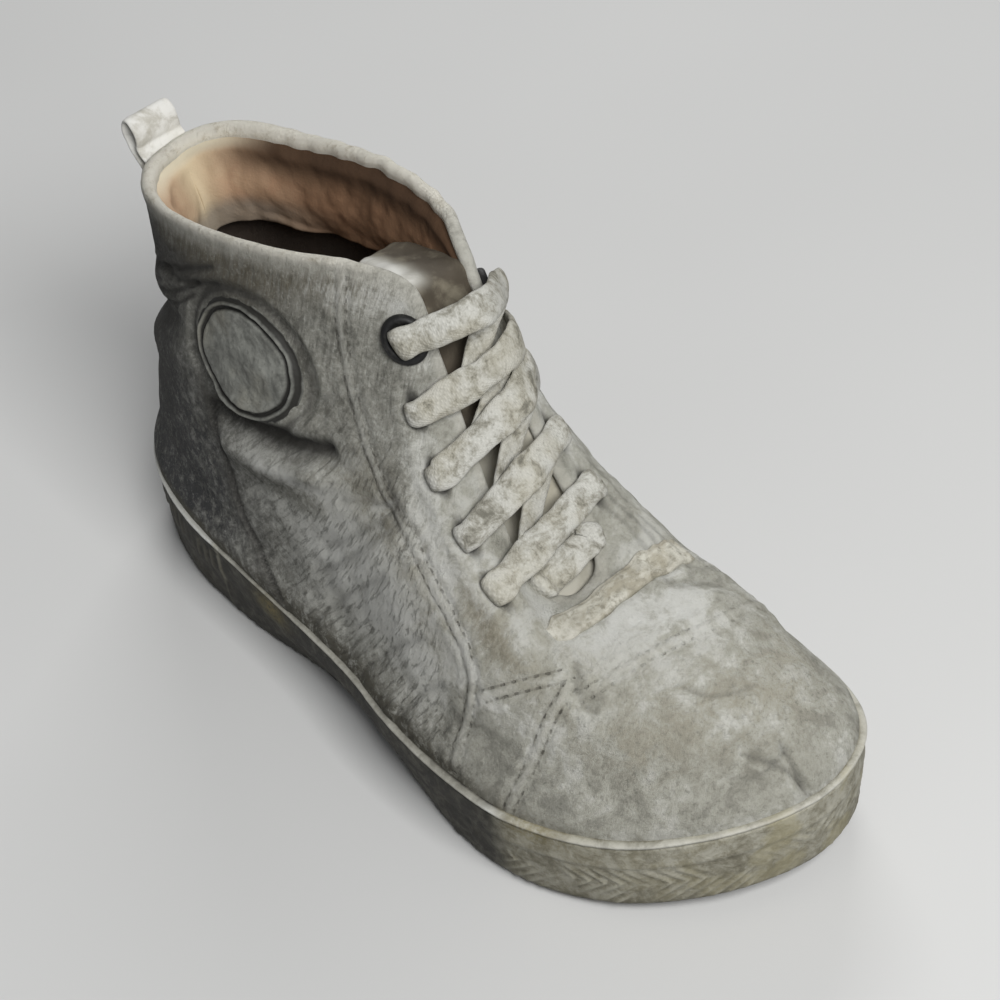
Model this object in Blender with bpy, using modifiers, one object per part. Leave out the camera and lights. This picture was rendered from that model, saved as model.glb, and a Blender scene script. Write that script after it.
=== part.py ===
# An ankle-high laced leather sneaker for the right foot, worn soft, empty, standing on its sole.
# Frame: toe towards -Y, up +Z, outer side of the foot towards -X; the origin is on the ground,
# under the middle of the shoe's box. Lengths below are in millimetres and become metres in mesh_object.
import math

import bmesh
import bpy
from mathutils import Matrix, Vector
from mathutils.bvhtree import BVHTree

MM = 0.001
SHOE_LENGTH = 252.8
# Middle of the whole shoe's box: x across the foot, l forward of the heel back.
BOX_MIDDLE_X, BOX_MIDDLE_L = -4.44, 124.58
WALL = 2.2  # leather with its lining
GAP = 0.35  # running gap between neighbouring pieces
COLUMNS_ROUND = 74  # points round the foot
SOLE_TOP = 10.5  # top of the outsole inside the foxing
FOXING_TOP = 26.5
HEEL_FOXING = 2.0  # how much higher the foxing stands round the heel
FOXING_THICK = 3.6
UPPER_FOOT = SOLE_TOP + 0.6
TOE_SPRING = 8.5
SPRING_FROM = 172.0  # the sole lifts from here to the toe
HEEL_LIFT = 2.5
ARCH_RISE = 2.2
ARCH_FROM, ARCH_TO = 86.0, 136.0
LACE_WIDTH = 9.0
LACE_THICK = 1.8
EYELET_OUTER = 6.2
EYELET_HOLE = 3.4
BADGE_RADIUS = 17.8

# One row for each station round the foot: from the heel back along the outer side to the toe, and
# back along the inner side. edge_x and edge_l place the sole's edge, and top_x, top_l and top_z the
# upper's top edge, collar or throat; l is measured forward from the heel back. rise and bulge say how
# far the wall leaves the sole upwards and outwards, drop and reach how far it comes off the top edge
# downwards and outwards. tuck is how far the sole's underside is drawn in, deepest at the waist.
STATION = ("edge_x", "edge_l", "top_x", "top_l", "top_z", "rise", "bulge", "drop", "reach", "tuck")
STATIONS = (
    (0.0, 0.0, 3.0, 4.0, 118.0, 40.0, 4.5, 36.0, -9.0, 1.5),
    (-19.0, 5.5, -9.0, 9.5, 119.5, 40.0, 4.0, 36.0, -7.0, 1.5),
    (-31.0, 20.0, -17.5, 23.0, 122.0, 40.0, 3.0, 38.0, -1.0, 1.5),
    (-38.0, 42.0, -21.5, 43.0, 127.0, 40.0, 2.0, 42.0, 6.0, 1.5),
    (-41.0, 70.0, -22.0, 65.0, 132.5, 38.0, 1.5, 44.0, 10.0, 3.0),
    (-43.0, 97.0, -19.5, 87.0, 137.5, 36.0, 1.5, 44.0, 12.0, 6.5),
    (-46.0, 122.0, -13.0, 107.0, 140.5, 34.0, 2.0, 40.0, 14.0, 7.5),
    (-51.5, 148.0, -5.5, 121.0, 135.0, 32.0, 2.5, 30.0, 18.0, 5.0),
    (-53.5, 172.0, -6.0, 129.5, 116.5, 29.0, 2.5, 24.0, 21.0, 2.0),
    (-52.0, 196.0, -8.5, 141.0, 97.0, 28.0, 2.5, 14.0, 24.0, 1.5),
    (-43.5, 218.5, -11.5, 154.0, 80.0, 28.0, 3.0, 8.0, 26.0, 1.5),
    (-30.0, 235.0, -12.5, 166.5, 66.0, 31.0, 5.0, 2.0, 28.0, 1.5),
    (-13.0, 247.0, -7.5, 173.0, 61.5, 33.0, 6.0, -2.0, 33.0, 1.5),
    (5.0, 252.8, -1.5, 174.5, 62.5, 34.0, 7.0, -3.0, 35.0, 1.5),
    (22.5, 249.5, 4.0, 173.0, 65.0, 33.0, 6.5, -1.0, 32.0, 1.5),
    (34.5, 239.0, 8.5, 165.5, 69.5, 31.0, 5.0, 4.0, 25.0, 1.5),
    (41.5, 220.5, 10.0, 154.0, 82.0, 28.0, 2.0, 12.0, 17.0, 1.5),
    (44.5, 196.5, 12.0, 141.0, 98.0, 28.0, 1.0, 20.0, 11.0, 1.5),
    (43.5, 171.0, 14.5, 128.0, 115.0, 29.0, 0.5, 28.0, 9.0, 3.0),
    (38.0, 145.0, 18.5, 117.0, 129.5, 32.0, 0.5, 34.0, 8.0, 6.0),
    (33.0, 118.0, 23.5, 104.0, 137.5, 34.0, 2.0, 40.0, 7.0, 7.5),
    (30.5, 92.0, 27.0, 84.0, 136.5, 36.0, 4.0, 44.0, 4.0, 6.5),
    (32.0, 66.0, 28.5, 62.0, 132.0, 38.0, 4.5, 44.0, 2.0, 3.0),
    (35.0, 41.0, 27.5, 41.0, 127.0, 40.0, 4.0, 42.0, 0.0, 1.5),
    (31.0, 18.0, 23.0, 21.0, 124.0, 40.0, 4.0, 38.0, -3.0, 1.5),
    (18.0, 4.0, 14.5, 8.5, 121.0, 40.0, 4.5, 36.0, -7.0, 1.5),
)

# Lace holes, from the collar down: turn on the outer and on the inner side, and how far each hole
# stands from the top edge, as a share of the way down the wall. The last row has no holes: there
# the lace crosses from one edge of the throat to the other.
LACE_HOLE = ("outer_turn", "inner_turn", "outer_inset", "inner_inset")
LACE_HOLES = (
    (7.12, 19.00, 0.10, 0.10),
    (7.72, 18.40, 0.17, 0.12),
    (8.52, 17.65, 0.19, 0.12),
    (9.24, 16.80, 0.21, 0.12),
    (9.84, 15.90, 0.24, 0.12),
    (11.10, 14.80, 0.0, 0.0),
)


def row(names, values):
    return dict(zip(names, values))


def start_empty():
    for obj in list(bpy.data.objects):
        bpy.data.objects.remove(obj)


def new_collection(name):
    collection = bpy.data.collections.new(name)
    bpy.context.scene.collection.children.link(collection)
    return collection


def material(name, colour, roughness, metallic=0.0):
    made = bpy.data.materials.new(name)
    made.use_nodes = True
    shader = made.node_tree.nodes["Principled BSDF"]
    shader.inputs["Base Color"].default_value = (*colour, 1.0)
    shader.inputs["Roughness"].default_value = roughness
    shader.inputs["Metallic"].default_value = metallic
    return made


def mesh_object(name, mesh_data, collection, finish=None):
    """Turns a bmesh in millimetres into an object in metres."""
    bmesh.ops.scale(mesh_data, vec=(MM, MM, MM), verts=mesh_data.verts)
    bmesh.ops.recalc_face_normals(mesh_data, faces=mesh_data.faces)
    mesh = bpy.data.meshes.new(name)
    mesh_data.to_mesh(mesh)
    mesh_data.free()
    obj = bpy.data.objects.new(name, mesh)
    collection.objects.link(obj)
    if finish:
        mesh.materials.append(finish)
        mesh.shade_smooth()
        mesh.set_sharp_from_angle(angle=math.radians(35))
    return obj


def smooth_station(turn):
    """The station values at a turn of 0 to 1 round the foot, by a periodic Catmull-Rom curve."""
    count = len(STATIONS)
    place = (turn % 1.0) * count
    first = int(place)
    t = place - first
    p0, p1, p2, p3 = (STATIONS[(first + step) % count] for step in (-1, 0, 1, 2))
    weights = (
        (-t + 2 * t**2 - t**3) / 2,
        (2 - 5 * t**2 + 3 * t**3) / 2,
        (t + 4 * t**2 - 3 * t**3) / 2,
        (-(t**2) + t**3) / 2,
    )
    values = (sum(w * p for w, p in zip(weights, each)) for each in zip(p0, p1, p2, p3))
    return row(STATION, values)


def ease(x):
    x = min(max(x, 0.0), 1.0)
    return x * x * (3 - 2 * x)


def sole_lift(along):
    """Height of the underside above the ground: toe spring, a small heel lift and the arch."""
    toe = TOE_SPRING * max(0.0, (along - SPRING_FROM) / (SHOE_LENGTH - SPRING_FROM)) ** 2
    heel = HEEL_LIFT * max(0.0, (16.0 - along) / 16.0) ** 2
    return toe + heel


def arch_rise(along):
    return ARCH_RISE * ease((along - ARCH_FROM) / 18) * ease((ARCH_TO - along) / 18)


def place(x, along, z):
    """A point from its distance forward of the heel back."""
    return Vector((x - BOX_MIDDLE_X, BOX_MIDDLE_L - along, z))


def sole_edge(turn, inset=0.0):
    """A point on the sole's edge, drawn in by inset, and the outward direction there."""
    here = smooth_station(turn)
    ahead, behind = smooth_station(turn + 0.002), smooth_station(turn - 0.002)
    forward = Vector((ahead["edge_x"] - behind["edge_x"], behind["edge_l"] - ahead["edge_l"], 0.0))
    outward = forward.normalized().cross(Vector((0, 0, 1)))
    edge = place(here["edge_x"], here["edge_l"], 0.0)
    return edge - outward * inset, outward, here


def along_of(point):
    return BOX_MIDDLE_L - point.y


def foxing_top(along):
    return FOXING_TOP + HEEL_FOXING * ease((95.0 - along) / 60) + sole_lift(along)


LEATHER_SWELL = 0.75  # how steeply the leather swells out over the foxing, as a slope
SWELL_FROM = 2.4  # how far above the foxing that starts


def upper_point(turn, share):
    """Outer face of the upper: share 0 is its hidden foot inside the foxing, 1 its top edge."""
    foot, outward, here = sole_edge(turn, FOXING_THICK + GAP + 0.1)
    foot.z = UPPER_FOOT + sole_lift(along_of(foot))
    top = place(here["top_x"], here["top_l"], here["top_z"])
    low = foot + outward * here["bulge"] + Vector((0, 0, here["rise"]))
    high = top + outward * here["reach"] - Vector((0, 0, here["drop"]))
    back = 1.0 - share
    point = back**3 * foot + 3 * back**2 * share * low + 3 * back * share**2 * high + share**3 * top
    # inside the foxing the wall stands straight, and above it the leather swells out over the band
    along = along_of(foot)
    free = LEATHER_SWELL * max(0.0, point.z - foxing_top(along) - SWELL_FROM)
    excess = (point - foot).dot(outward) - free
    return point - outward * max(excess, 0.0)


def upper_normal(turn, share):
    step = 0.004
    low, high = max(share - step, 0.0), min(share + step, 1.0)
    around = upper_point(turn + step, share) - upper_point(turn - step, share)
    rising = upper_point(turn, high) - upper_point(turn, low)
    return around.cross(rising).normalized()


def lifted(turn, share, height):
    """A point that stands off the upper's outer face."""
    return upper_point(turn, share) + upper_normal(turn, share) * height


def grid(mesh_data, points, closed_round=False):
    """Faces over rows of points; closed_round joins each row's end to its start."""
    rows = [[mesh_data.verts.new(p) for p in line] for line in points]
    for lower, upper in zip(rows, rows[1:]):
        count = len(lower)
        for i in range(count if closed_round else count - 1):
            j = (i + 1) % count
            mesh_data.faces.new((lower[i], lower[j], upper[j], upper[i]))
    return rows


def cut_across(mesh_data, first, last, step):
    """Cuts the mesh across its length, so that flat faces can follow the sole's lift."""
    along = first
    while along < last:
        bmesh.ops.bisect_plane(
            mesh_data,
            geom=mesh_data.verts[:] + mesh_data.edges[:] + mesh_data.faces[:],
            plane_co=place(0, along, 0),
            plane_no=(0, 1, 0),
            dist=1e-4,
        )
        along += step


def follow_sole(mesh_data, keep_below=None):
    for vert in mesh_data.verts:
        along = along_of(vert.co)
        lift = sole_lift(along)
        if keep_below is not None and vert.co.z < keep_below:
            lift += arch_rise(along)
        vert.co.z += lift


def turns_round(count=COLUMNS_ROUND):
    return [i / count for i in range(count)]


CUT_FROM = 4.3


def slab(levels, cut_step):
    """A closed slab: each level is a height and the two insets, plain and as a share of tuck."""
    mesh_data = bmesh.new()
    rings = []
    for height, inset, tuck_share in levels:
        ring = []
        for turn in turns_round():
            tuck = smooth_station(turn)["tuck"]
            point, _, _ = sole_edge(turn, inset + tuck * tuck_share)
            ring.append(point + Vector((0, 0, height)))
        rings.append(ring)
    rows = grid(mesh_data, rings, closed_round=True)
    mesh_data.faces.new(reversed(rows[0]))
    mesh_data.faces.new(rows[-1])
    cut_across(mesh_data, CUT_FROM, SHOE_LENGTH, cut_step)
    return mesh_data


def cutter_object(name, mesh_data, collection):
    obj = mesh_object(name, mesh_data, collection)
    obj.hide_render = True
    obj.display_type = "WIRE"
    return obj


def cut(obj, cutter, operation="DIFFERENCE"):
    modifier = obj.modifiers.new(cutter.name, "BOOLEAN")
    modifier.operation = operation
    modifier.object = cutter


GROOVE_DEPTH = 1.6
GROOVE_WIDTH = 1.8
GROOVE_REACH = 140.0
BALL_CENTRE = (4.0, 182.0)
BALL_RINGS = (7.0, 17.0, 27.0)
BALL_CLEAR = 31.0
# Stretches of cross grooves in the tread: where each starts and ends, and the step between grooves.
GROOVE_STRETCHES = ((6.0, 30.0, 5.0), (72.0, 84.0, 6.0), (88.0, 150.0, 7.5), (214.0, 244.0, 7.5))


def groove_box(mesh_data, along, low_x, high_x):
    made = bmesh.ops.create_cube(mesh_data, size=1.0)["verts"]
    centre = place((low_x + high_x) / 2, along, 0.0)
    slope = sole_lift(along + 1) - sole_lift(along - 1)
    turn = Matrix.Rotation(-math.atan(slope / 2), 4, "X")
    height = sole_lift(along) + arch_rise(along)
    size = Matrix.Diagonal((high_x - low_x, GROOVE_WIDTH, GROOVE_DEPTH * 2, 1.0))
    matrix = Matrix.Translation(centre + Vector((0, 0, height))) @ turn @ size
    bmesh.ops.transform(mesh_data, matrix=matrix, verts=made)


def ring_groove(mesh_data, radius, sides=24):
    """A round groove under the ball of the foot, as a square ring that follows the sole's lift."""
    corners = ((-1, -1), (1, -1), (1, 1), (-1, 1))
    rings = []
    for side, level in corners:
        ring = []
        for i in range(sides):
            angle = 2 * math.pi * i / sides
            reach = radius + side * GROOVE_WIDTH / 2
            x, along = BALL_CENTRE[0] + reach * math.cos(angle), BALL_CENTRE[1] + reach * math.sin(angle)
            ring.append(place(x, along, sole_lift(along) + level * GROOVE_DEPTH))
        rings.append(ring)
    grid(mesh_data, rings + rings[:1], closed_round=True)
    bmesh.ops.remove_doubles(mesh_data, verts=mesh_data.verts, dist=1e-4)


def make_outsole(shoe, cutters, rubber):
    levels = ((0.0, 1.6, 1.0), (1.8, 0.3, 0.95), (SOLE_TOP, 0.0, 0.35))
    mesh_data = slab(levels, 8.3)
    follow_sole(mesh_data, keep_below=1.0)
    outsole = mesh_object("outsole", mesh_data, shoe, rubber)
    grooves = bmesh.new()
    for first, last, step in GROOVE_STRETCHES:
        along = first
        while along <= last:
            groove_box(grooves, along, -GROOVE_REACH / 2, GROOVE_REACH / 2)
            along += step
    for along in (158.0, 166.0, 174.0, 182.0, 190.0, 198.0, 206.0):
        half = math.sqrt(max(BALL_CLEAR**2 - (along - BALL_CENTRE[1]) ** 2, 0.0))
        groove_box(grooves, along, -GROOVE_REACH / 2, BALL_CENTRE[0] - half)
        groove_box(grooves, along, BALL_CENTRE[0] + half, GROOVE_REACH / 2)
    cut(outsole, cutter_object("tread_grooves", grooves, cutters))
    for number, radius in enumerate(BALL_RINGS, 1):
        ring = bmesh.new()
        ring_groove(ring, radius)
        cut(outsole, cutter_object("tread_ring_%d" % number, ring, cutters))
    return outsole


def make_foxing(shoe, rubber):
    """The rubber band round the foot, with a bead along its top."""
    profile = (
        (SOLE_TOP + GAP, FOXING_THICK, 0.0),
        (SOLE_TOP + GAP, 0.0, 0.32),
        (16.5, 0.0, 0.0),
        (22.5, 0.2, 0.0),
        (23.8, -0.6, 0.0),
        (25.8, -0.5, 0.0),
        (FOXING_TOP, 0.6, 0.0),
        (FOXING_TOP - 0.8, FOXING_THICK, 0.0),
    )
    mesh_data = bmesh.new()
    rings = []
    for height, inset, tuck_share in profile:
        ring = []
        for turn in turns_round():
            point, _, _ = sole_edge(turn, inset + tuck_share * smooth_station(turn)["tuck"])
            along = along_of(point)
            raised = (foxing_top(along) - FOXING_TOP - sole_lift(along)) * ease((height - SOLE_TOP) / 8)
            ring.append(point + Vector((0, 0, height + raised + sole_lift(along))))
        rings.append(ring)
    grid(mesh_data, rings + rings[:1], closed_round=True)
    bmesh.ops.remove_doubles(mesh_data, verts=mesh_data.verts, dist=1e-4)
    return mesh_object("foxing", mesh_data, shoe, rubber)


def make_insole(shoe, lining):
    inset = FOXING_THICK + GAP + WALL + GAP
    levels = ((SOLE_TOP + GAP, inset, 0.0), (SOLE_TOP + 4.3, inset + 0.3, 0.0))
    mesh_data = slab(levels, 12.0)
    follow_sole(mesh_data)
    return mesh_object("insole", mesh_data, shoe, lining)


# Rows of the upper's mesh from its foot to its top edge, closest where it leaves the foxing.
UPPER_SHARES = (0.0, 0.11, 0.16, 0.20, 0.26, 0.34, 0.44, 0.55, 0.67, 0.79, 0.90, 1.0)


def make_upper(shoe, cutters, leather):
    mesh_data = bmesh.new()
    points = [[upper_point(turn, share) for turn in turns_round()] for share in UPPER_SHARES]
    grid(mesh_data, points, closed_round=True)
    upper = mesh_object("upper", mesh_data, shoe, leather)
    shell = upper.modifiers.new("wall", "SOLIDIFY")
    shell.thickness = WALL * MM
    shell.offset = -1.0
    shell.use_even_offset = True
    holes = bmesh.new()
    for number, hole in enumerate(row(LACE_HOLE, each) for each in LACE_HOLES[:-1]):
        for side in ("outer", "inner"):
            turn, share = hole[side + "_turn"] / len(STATIONS), 1.0 - hole[side + "_inset"]
            punch(holes, turn, share, round_hole=number == 0)
    cut(upper, cutter_object("lace_holes", holes, cutters))
    return upper


SLOT_LENGTH = 10.0
SLOT_WIDTH = 3.6


def hole_frame(turn, share):
    """Axes at a lace hole: x along the throat edge, y across it and z outwards."""
    normal = upper_normal(turn, share)
    along_edge = (upper_point(turn + 0.01, share) - upper_point(turn - 0.01, share)).normalized()
    across = normal.cross(along_edge).normalized()
    frame = Matrix((along_edge, across, normal)).transposed().to_4x4()
    frame.translation = upper_point(turn, share)
    return frame


def punch(mesh_data, turn, share, round_hole):
    made = bmesh.ops.create_cone(
        mesh_data, cap_ends=True, segments=12, radius1=1.0, radius2=1.0, depth=12.0
    )["verts"]
    size = (EYELET_HOLE + 0.7,) * 2 if round_hole else (SLOT_LENGTH / 2, SLOT_WIDTH / 2)
    matrix = hole_frame(turn, share) @ Matrix.Diagonal((*size, 1.0, 1.0))
    bmesh.ops.transform(mesh_data, matrix=matrix, verts=made)


TONGUE_THICK = 3.0
TONGUE_CLEAR = WALL + 1.0
TONGUE_TUCK = 0.15  # how far the tongue reaches under each side of the throat, as a share of the wall
THROAT_TOP = (7.0, 19.0)  # outer-side and inner-side turns at the collar
THROAT_TURNS = 4.2  # turns from there to where the throat rounds off at its base
TONGUE_UNDER = (1.0, -8.0, -6.0)  # step of each section that lies under the vamp
TONGUE_SLUMP = (0.5, 9.0, -1.2)  # step of each section that falls back inside the collar


def tongue_section(step):
    """Points across the tongue's upper face, from the outer to the inner side."""
    turns = (THROAT_TOP[0] + THROAT_TURNS * step, THROAT_TOP[1] - THROAT_TURNS * step)
    shares = (1 - TONGUE_TUCK, 1 - TONGUE_TUCK / 2, 0.99)
    outer, inner = (
        [lifted(turn / len(STATIONS), share, -TONGUE_CLEAR) for share in shares] for turn in turns
    )
    middle = [outer[-1].lerp(inner[-1], across) for across in (0.33, 0.67)]
    return outer + middle + inner[::-1]


def shifted(section, step, times, narrowing):
    middle = sum(section, Vector()) / len(section)
    move = Vector(step) * times
    return [middle + (point - middle) * narrowing + move for point in section]


def make_tongue(shoe, leather):
    """A strip that lies under the throat and slumps back into the collar at its top."""
    throat = [tongue_section(1.0 - i / 12) for i in range(13)]
    under = [shifted(throat[0], TONGUE_UNDER, times, 1.0 - 0.08 * times) for times in (2.0, 1.0)]
    slumped = [shifted(throat[-1], TONGUE_SLUMP, times, 1.0 - 0.04 * times**2) for times in (1.0, 2.0, 3.0)]
    mesh_data = bmesh.new()
    grid(mesh_data, under + throat + slumped)
    tongue = mesh_object("tongue", mesh_data, shoe, leather)
    face_out(tongue, throat[-1][4] * MM, Vector((0, -0.5, 0.8)))
    shell = tongue.modifiers.new("wall", "SOLIDIFY")
    shell.thickness = TONGUE_THICK * MM
    shell.offset = -1.0
    return tongue


def patch(name, turns, shares_of, height, thick, shoe, finish):
    """A strip of leather laid on the upper. shares_of gives the low and high edge at a turn."""
    mesh_data = bmesh.new()
    rows = []
    across_count = 7
    for turn in turns:
        low, high = shares_of(turn)
        line = [lifted(turn, low + (high - low) * i / across_count, height) for i in range(across_count + 1)]
        rows.append(line)
    grid(mesh_data, rows)
    piece = mesh_object(name, mesh_data, shoe, finish)
    middle = turns[len(turns) // 2]
    share = sum(shares_of(middle)) / 2
    face_out(piece, lifted(middle, share, height) * MM, upper_normal(middle, share))
    shell = piece.modifiers.new("wall", "SOLIDIFY")
    shell.thickness = thick * MM
    shell.offset = 1.0
    return piece


COUNTER_TURNS = 4.5  # stations from the heel back to the counter's front edge
COUNTER_LOW = 0.20
COUNTER_HIGH = 0.68


def counter_shares(turn):
    """The heel counter's low and high edge; its top curves down to the sole at both ends."""
    place_round = (turn * len(STATIONS)) % len(STATIONS)
    distance = min(place_round, len(STATIONS) - place_round) / COUNTER_TURNS
    return COUNTER_LOW, COUNTER_LOW + (COUNTER_HIGH - COUNTER_LOW) * math.sqrt(1.0 - distance**4)


def counter_turns(count=27, most=math.radians(84)):
    angles = [most * (2 * i / (count - 1) - 1) for i in range(count)]
    return [COUNTER_TURNS * math.sin(angle) / len(STATIONS) for angle in angles]


# The strap across the vamp below the throat: where it starts and ends, and its width along the foot.
BAND_FROM = (-20.5, 182.5)
BAND_TO = (29.0, 179.0)
BAND_WIDTH = 8.0


def make_throat_band(shoe, leather):
    """A strap laid straight across the vamp at the base of the throat."""
    wall = upper_tree()
    mesh_data = bmesh.new()
    rows = []
    for i in range(19):
        t = i / 18
        x = BAND_FROM[0] + (BAND_TO[0] - BAND_FROM[0]) * t
        middle = BAND_FROM[1] + (BAND_TO[1] - BAND_FROM[1]) * t
        line = []
        for across in (-0.5, -0.17, 0.17, 0.5):
            start = place(x, middle + BAND_WIDTH * across, 200.0)
            point, normal, _, _ = wall.ray_cast(start, Vector((0, 0, -1)))
            line.append(point + (normal if normal.z > 0 else -normal) * (GAP + 0.35))
        rows.append(line)
    grid(mesh_data, rows)
    band = mesh_object("throat_band", mesh_data, shoe, leather)
    face_out(band, rows[9][1] * MM, Vector((0, 0, 1)))
    shell = band.modifiers.new("wall", "SOLIDIFY")
    shell.thickness = 1.1 * MM
    shell.offset = 1.0
    return band


def make_badge(shoe, leather):
    """A round patch on the outer ankle, laid on the upper."""
    turn, share = 4.35 / len(STATIONS), 0.74
    frame = hole_frame(turn, share)
    mesh_data = bmesh.new()
    made = bmesh.ops.create_circle(mesh_data, cap_ends=False, radius=BADGE_RADIUS, segments=28)["verts"]
    bmesh.ops.transform(mesh_data, matrix=frame, verts=made)
    rim = [vert.co.copy() for vert in mesh_data.verts]
    mesh_data.clear()
    wall = upper_tree()
    rings = []
    for scale in (1.0, 0.6):
        ring = []
        for point in rim:
            flat = frame.translation.lerp(point, scale)
            ring.append(on_wall(wall, flat, GAP))
        rings.append(ring)
    rows = grid(mesh_data, rings, closed_round=True)
    centre = mesh_data.verts.new(on_wall(wall, frame.translation, GAP))
    inner = rows[-1]
    for i, vert in enumerate(inner):
        mesh_data.faces.new((vert, inner[(i + 1) % len(inner)], centre))
    badge = mesh_object("badge", mesh_data, shoe, leather)
    face_out(badge, frame.translation * MM, frame.col[2].to_3d())
    shell = badge.modifiers.new("wall", "SOLIDIFY")
    shell.thickness = 0.9 * MM
    shell.offset = 1.0
    return badge


def face_out(piece, centre, outward):
    bm = bmesh.new()
    bm.from_mesh(piece.data)
    nearest = min(bm.faces, key=lambda face: (face.calc_center_median() - centre).length)
    if nearest.normal.dot(outward) < 0:
        bmesh.ops.reverse_faces(bm, faces=bm.faces)
    bm.to_mesh(piece.data)
    bm.free()


def upper_tree():
    """The upper's outer face as a search tree, for pieces that are laid on it."""
    count = COLUMNS_ROUND
    points = [upper_point(turn, share) for share in UPPER_SHARES for turn in turns_round()]
    faces = []
    for level in range(len(UPPER_SHARES) - 1):
        for i in range(count):
            j = (i + 1) % count
            low, high = level * count, (level + 1) * count
            faces.append((low + i, low + j, high + j, high + i))
    return BVHTree.FromPolygons(points, faces)


def on_wall(wall, point, height):
    nearest, normal, _, _ = wall.find_nearest(point)
    outward = normal if normal.dot(point - Vector((0, point.y, 60))) > 0 else -normal
    return nearest + outward * height


# Corners of a flat ribbon's section, as shares of half its width and half its thickness.
RIBBON_SECTION = ((-1.0, 0.0), (-0.85, -1.0), (0.85, -1.0), (1.0, 0.0), (0.85, 1.0), (-0.85, 1.0))


def ribbon(mesh_data, centres, sides, width, thick):
    """A closed flat ribbon along centres; sides give the direction of its width at each point."""
    rings = []
    count = len(centres)
    for i, centre in enumerate(centres):
        forward = (centres[min(i + 1, count - 1)] - centres[max(i - 1, 0)]).normalized()
        side = (sides[i] - forward * sides[i].dot(forward)).normalized()
        up = forward.cross(side)
        rings.append([
            centre + side * width / 2 * a + up * thick / 2 * b
            for a, b in RIBBON_SECTION
        ])
    rows = grid(mesh_data, rings, closed_round=True)
    mesh_data.faces.new(rows[0])
    mesh_data.faces.new(rows[-1][::-1])


PULL_WIDTH = 13.0
PULL_THICK = 1.3
PULL_OUTSIDE = (0.80, 0.86, 0.92, 0.97)  # shares of the heel's wall that the outer leg lies on
PULL_INSIDE = (0.95, 0.91, 0.87)
PULL_HOLLOW = 3.0  # the flat ribbon stands off the hollow of the heel's inside
# The free loop above the collar: forward of the heel back, and above the collar.
PULL_LOOP = ((-2.4, 4.0), (-3.6, 8.0), (-2.9, 11.4), (0.4, 12.2), (4.2, 10.0), (7.4, 6.0), (9.6, 1.5))


def make_pull_loop(shoe, webbing):
    """A ribbon sewn outside and inside the heel's top edge, standing up as a loop."""
    stand = GAP + PULL_THICK / 2
    heel = row(STATION, STATIONS[0])
    centres = [lifted(0.0, share, stand + 0.1) for share in PULL_OUTSIDE]
    centres += [place(heel["top_x"], along, heel["top_z"] + up) for along, up in PULL_LOOP]
    centres += [lifted(0.0, share, -WALL - stand - PULL_HOLLOW) for share in PULL_INSIDE]
    mesh_data = bmesh.new()
    ribbon(mesh_data, centres, [Vector((1, 0, 0))] * len(centres), PULL_WIDTH, PULL_THICK)
    return mesh_object("pull_loop", mesh_data, shoe, webbing)


def make_eyelet(name, turn, share, shoe, metal):
    """A flanged ring that lines the top lace hole."""
    frame = hole_frame(turn, share)
    profile = ((EYELET_HOLE, -WALL - 0.6), (EYELET_HOLE, 0.6), (EYELET_HOLE + 0.6, 1.3),
               (EYELET_OUTER - 0.4, 1.3), (EYELET_OUTER, GAP + 0.2), (EYELET_HOLE + 0.2, GAP + 0.2),
               (EYELET_HOLE + 0.2, -WALL - 0.6))
    mesh_data = bmesh.new()
    sides = 20
    rings = []
    for radius, height in profile:
        ring = []
        for i in range(sides):
            angle = 2 * math.pi * i / sides
            ring.append(frame @ Vector((radius * math.cos(angle), radius * math.sin(angle), height)))
        rings.append(ring)
    grid(mesh_data, rings + rings[:1], closed_round=True)
    bmesh.ops.remove_doubles(mesh_data, verts=mesh_data.verts, dist=1e-4)
    return mesh_object(name, mesh_data, shoe, metal)


# How each crossing of the lace lies: how far it arches over the throat, and how far it is pushed
# towards the inner side. The worn lace bulges most at the top.
BAR = ("arch", "push")
BARS = ((15.0, -3.0), (14.0, 4.0), (10.0, 5.0), (7.0, 1.0), (4.0, 0.0), (1.0, 0.0))
LACE_CLEAR = 0.6
# The top crossing lies over the eyelets, and the last one over the edges of the throat.
BAR_STAND = (2.2, 0.0, 0.0, 0.0, 0.0, 0.7)


def bar_ends(number):
    """Where a crossing starts and ends: the points, the wall's normals and the directions down its edges."""
    hole = row(LACE_HOLE, LACE_HOLES[number])
    height = LACE_THICK / 2 + LACE_CLEAR + BAR_STAND[number]
    frames = [
        hole_frame(hole[side + "_turn"] / len(STATIONS), 1.0 - hole[side + "_inset"])
        for side in ("outer", "inner")
    ]
    normals = [frame.col[2].to_3d() for frame in frames]
    points = [frame.translation + normal * height for frame, normal in zip(frames, normals)]
    edges = [frame.col[0].to_3d() for frame in frames]
    return points, normals, [edge if edge.z < 0 else -edge for edge in edges]


def bar_route(number, count=8):
    """Centres and width directions of one crossing, from the outer to the inner side."""
    (outer, inner), normals, edges = bar_ends(number)
    shape = row(BAR, BARS[number])
    rising = (normals[0] + normals[1]).normalized()
    centres, sides = [], []
    for i in range(count + 1):
        t = i / count
        hump = math.sin(math.pi * t) ** 0.8
        centre = outer.lerp(inner, t) + rising * shape["arch"] * hump
        centre.x += shape["push"] * hump * t
        centres.append(centre)
        sides.append(edges[0].lerp(edges[1], t))
    return centres, sides


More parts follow.
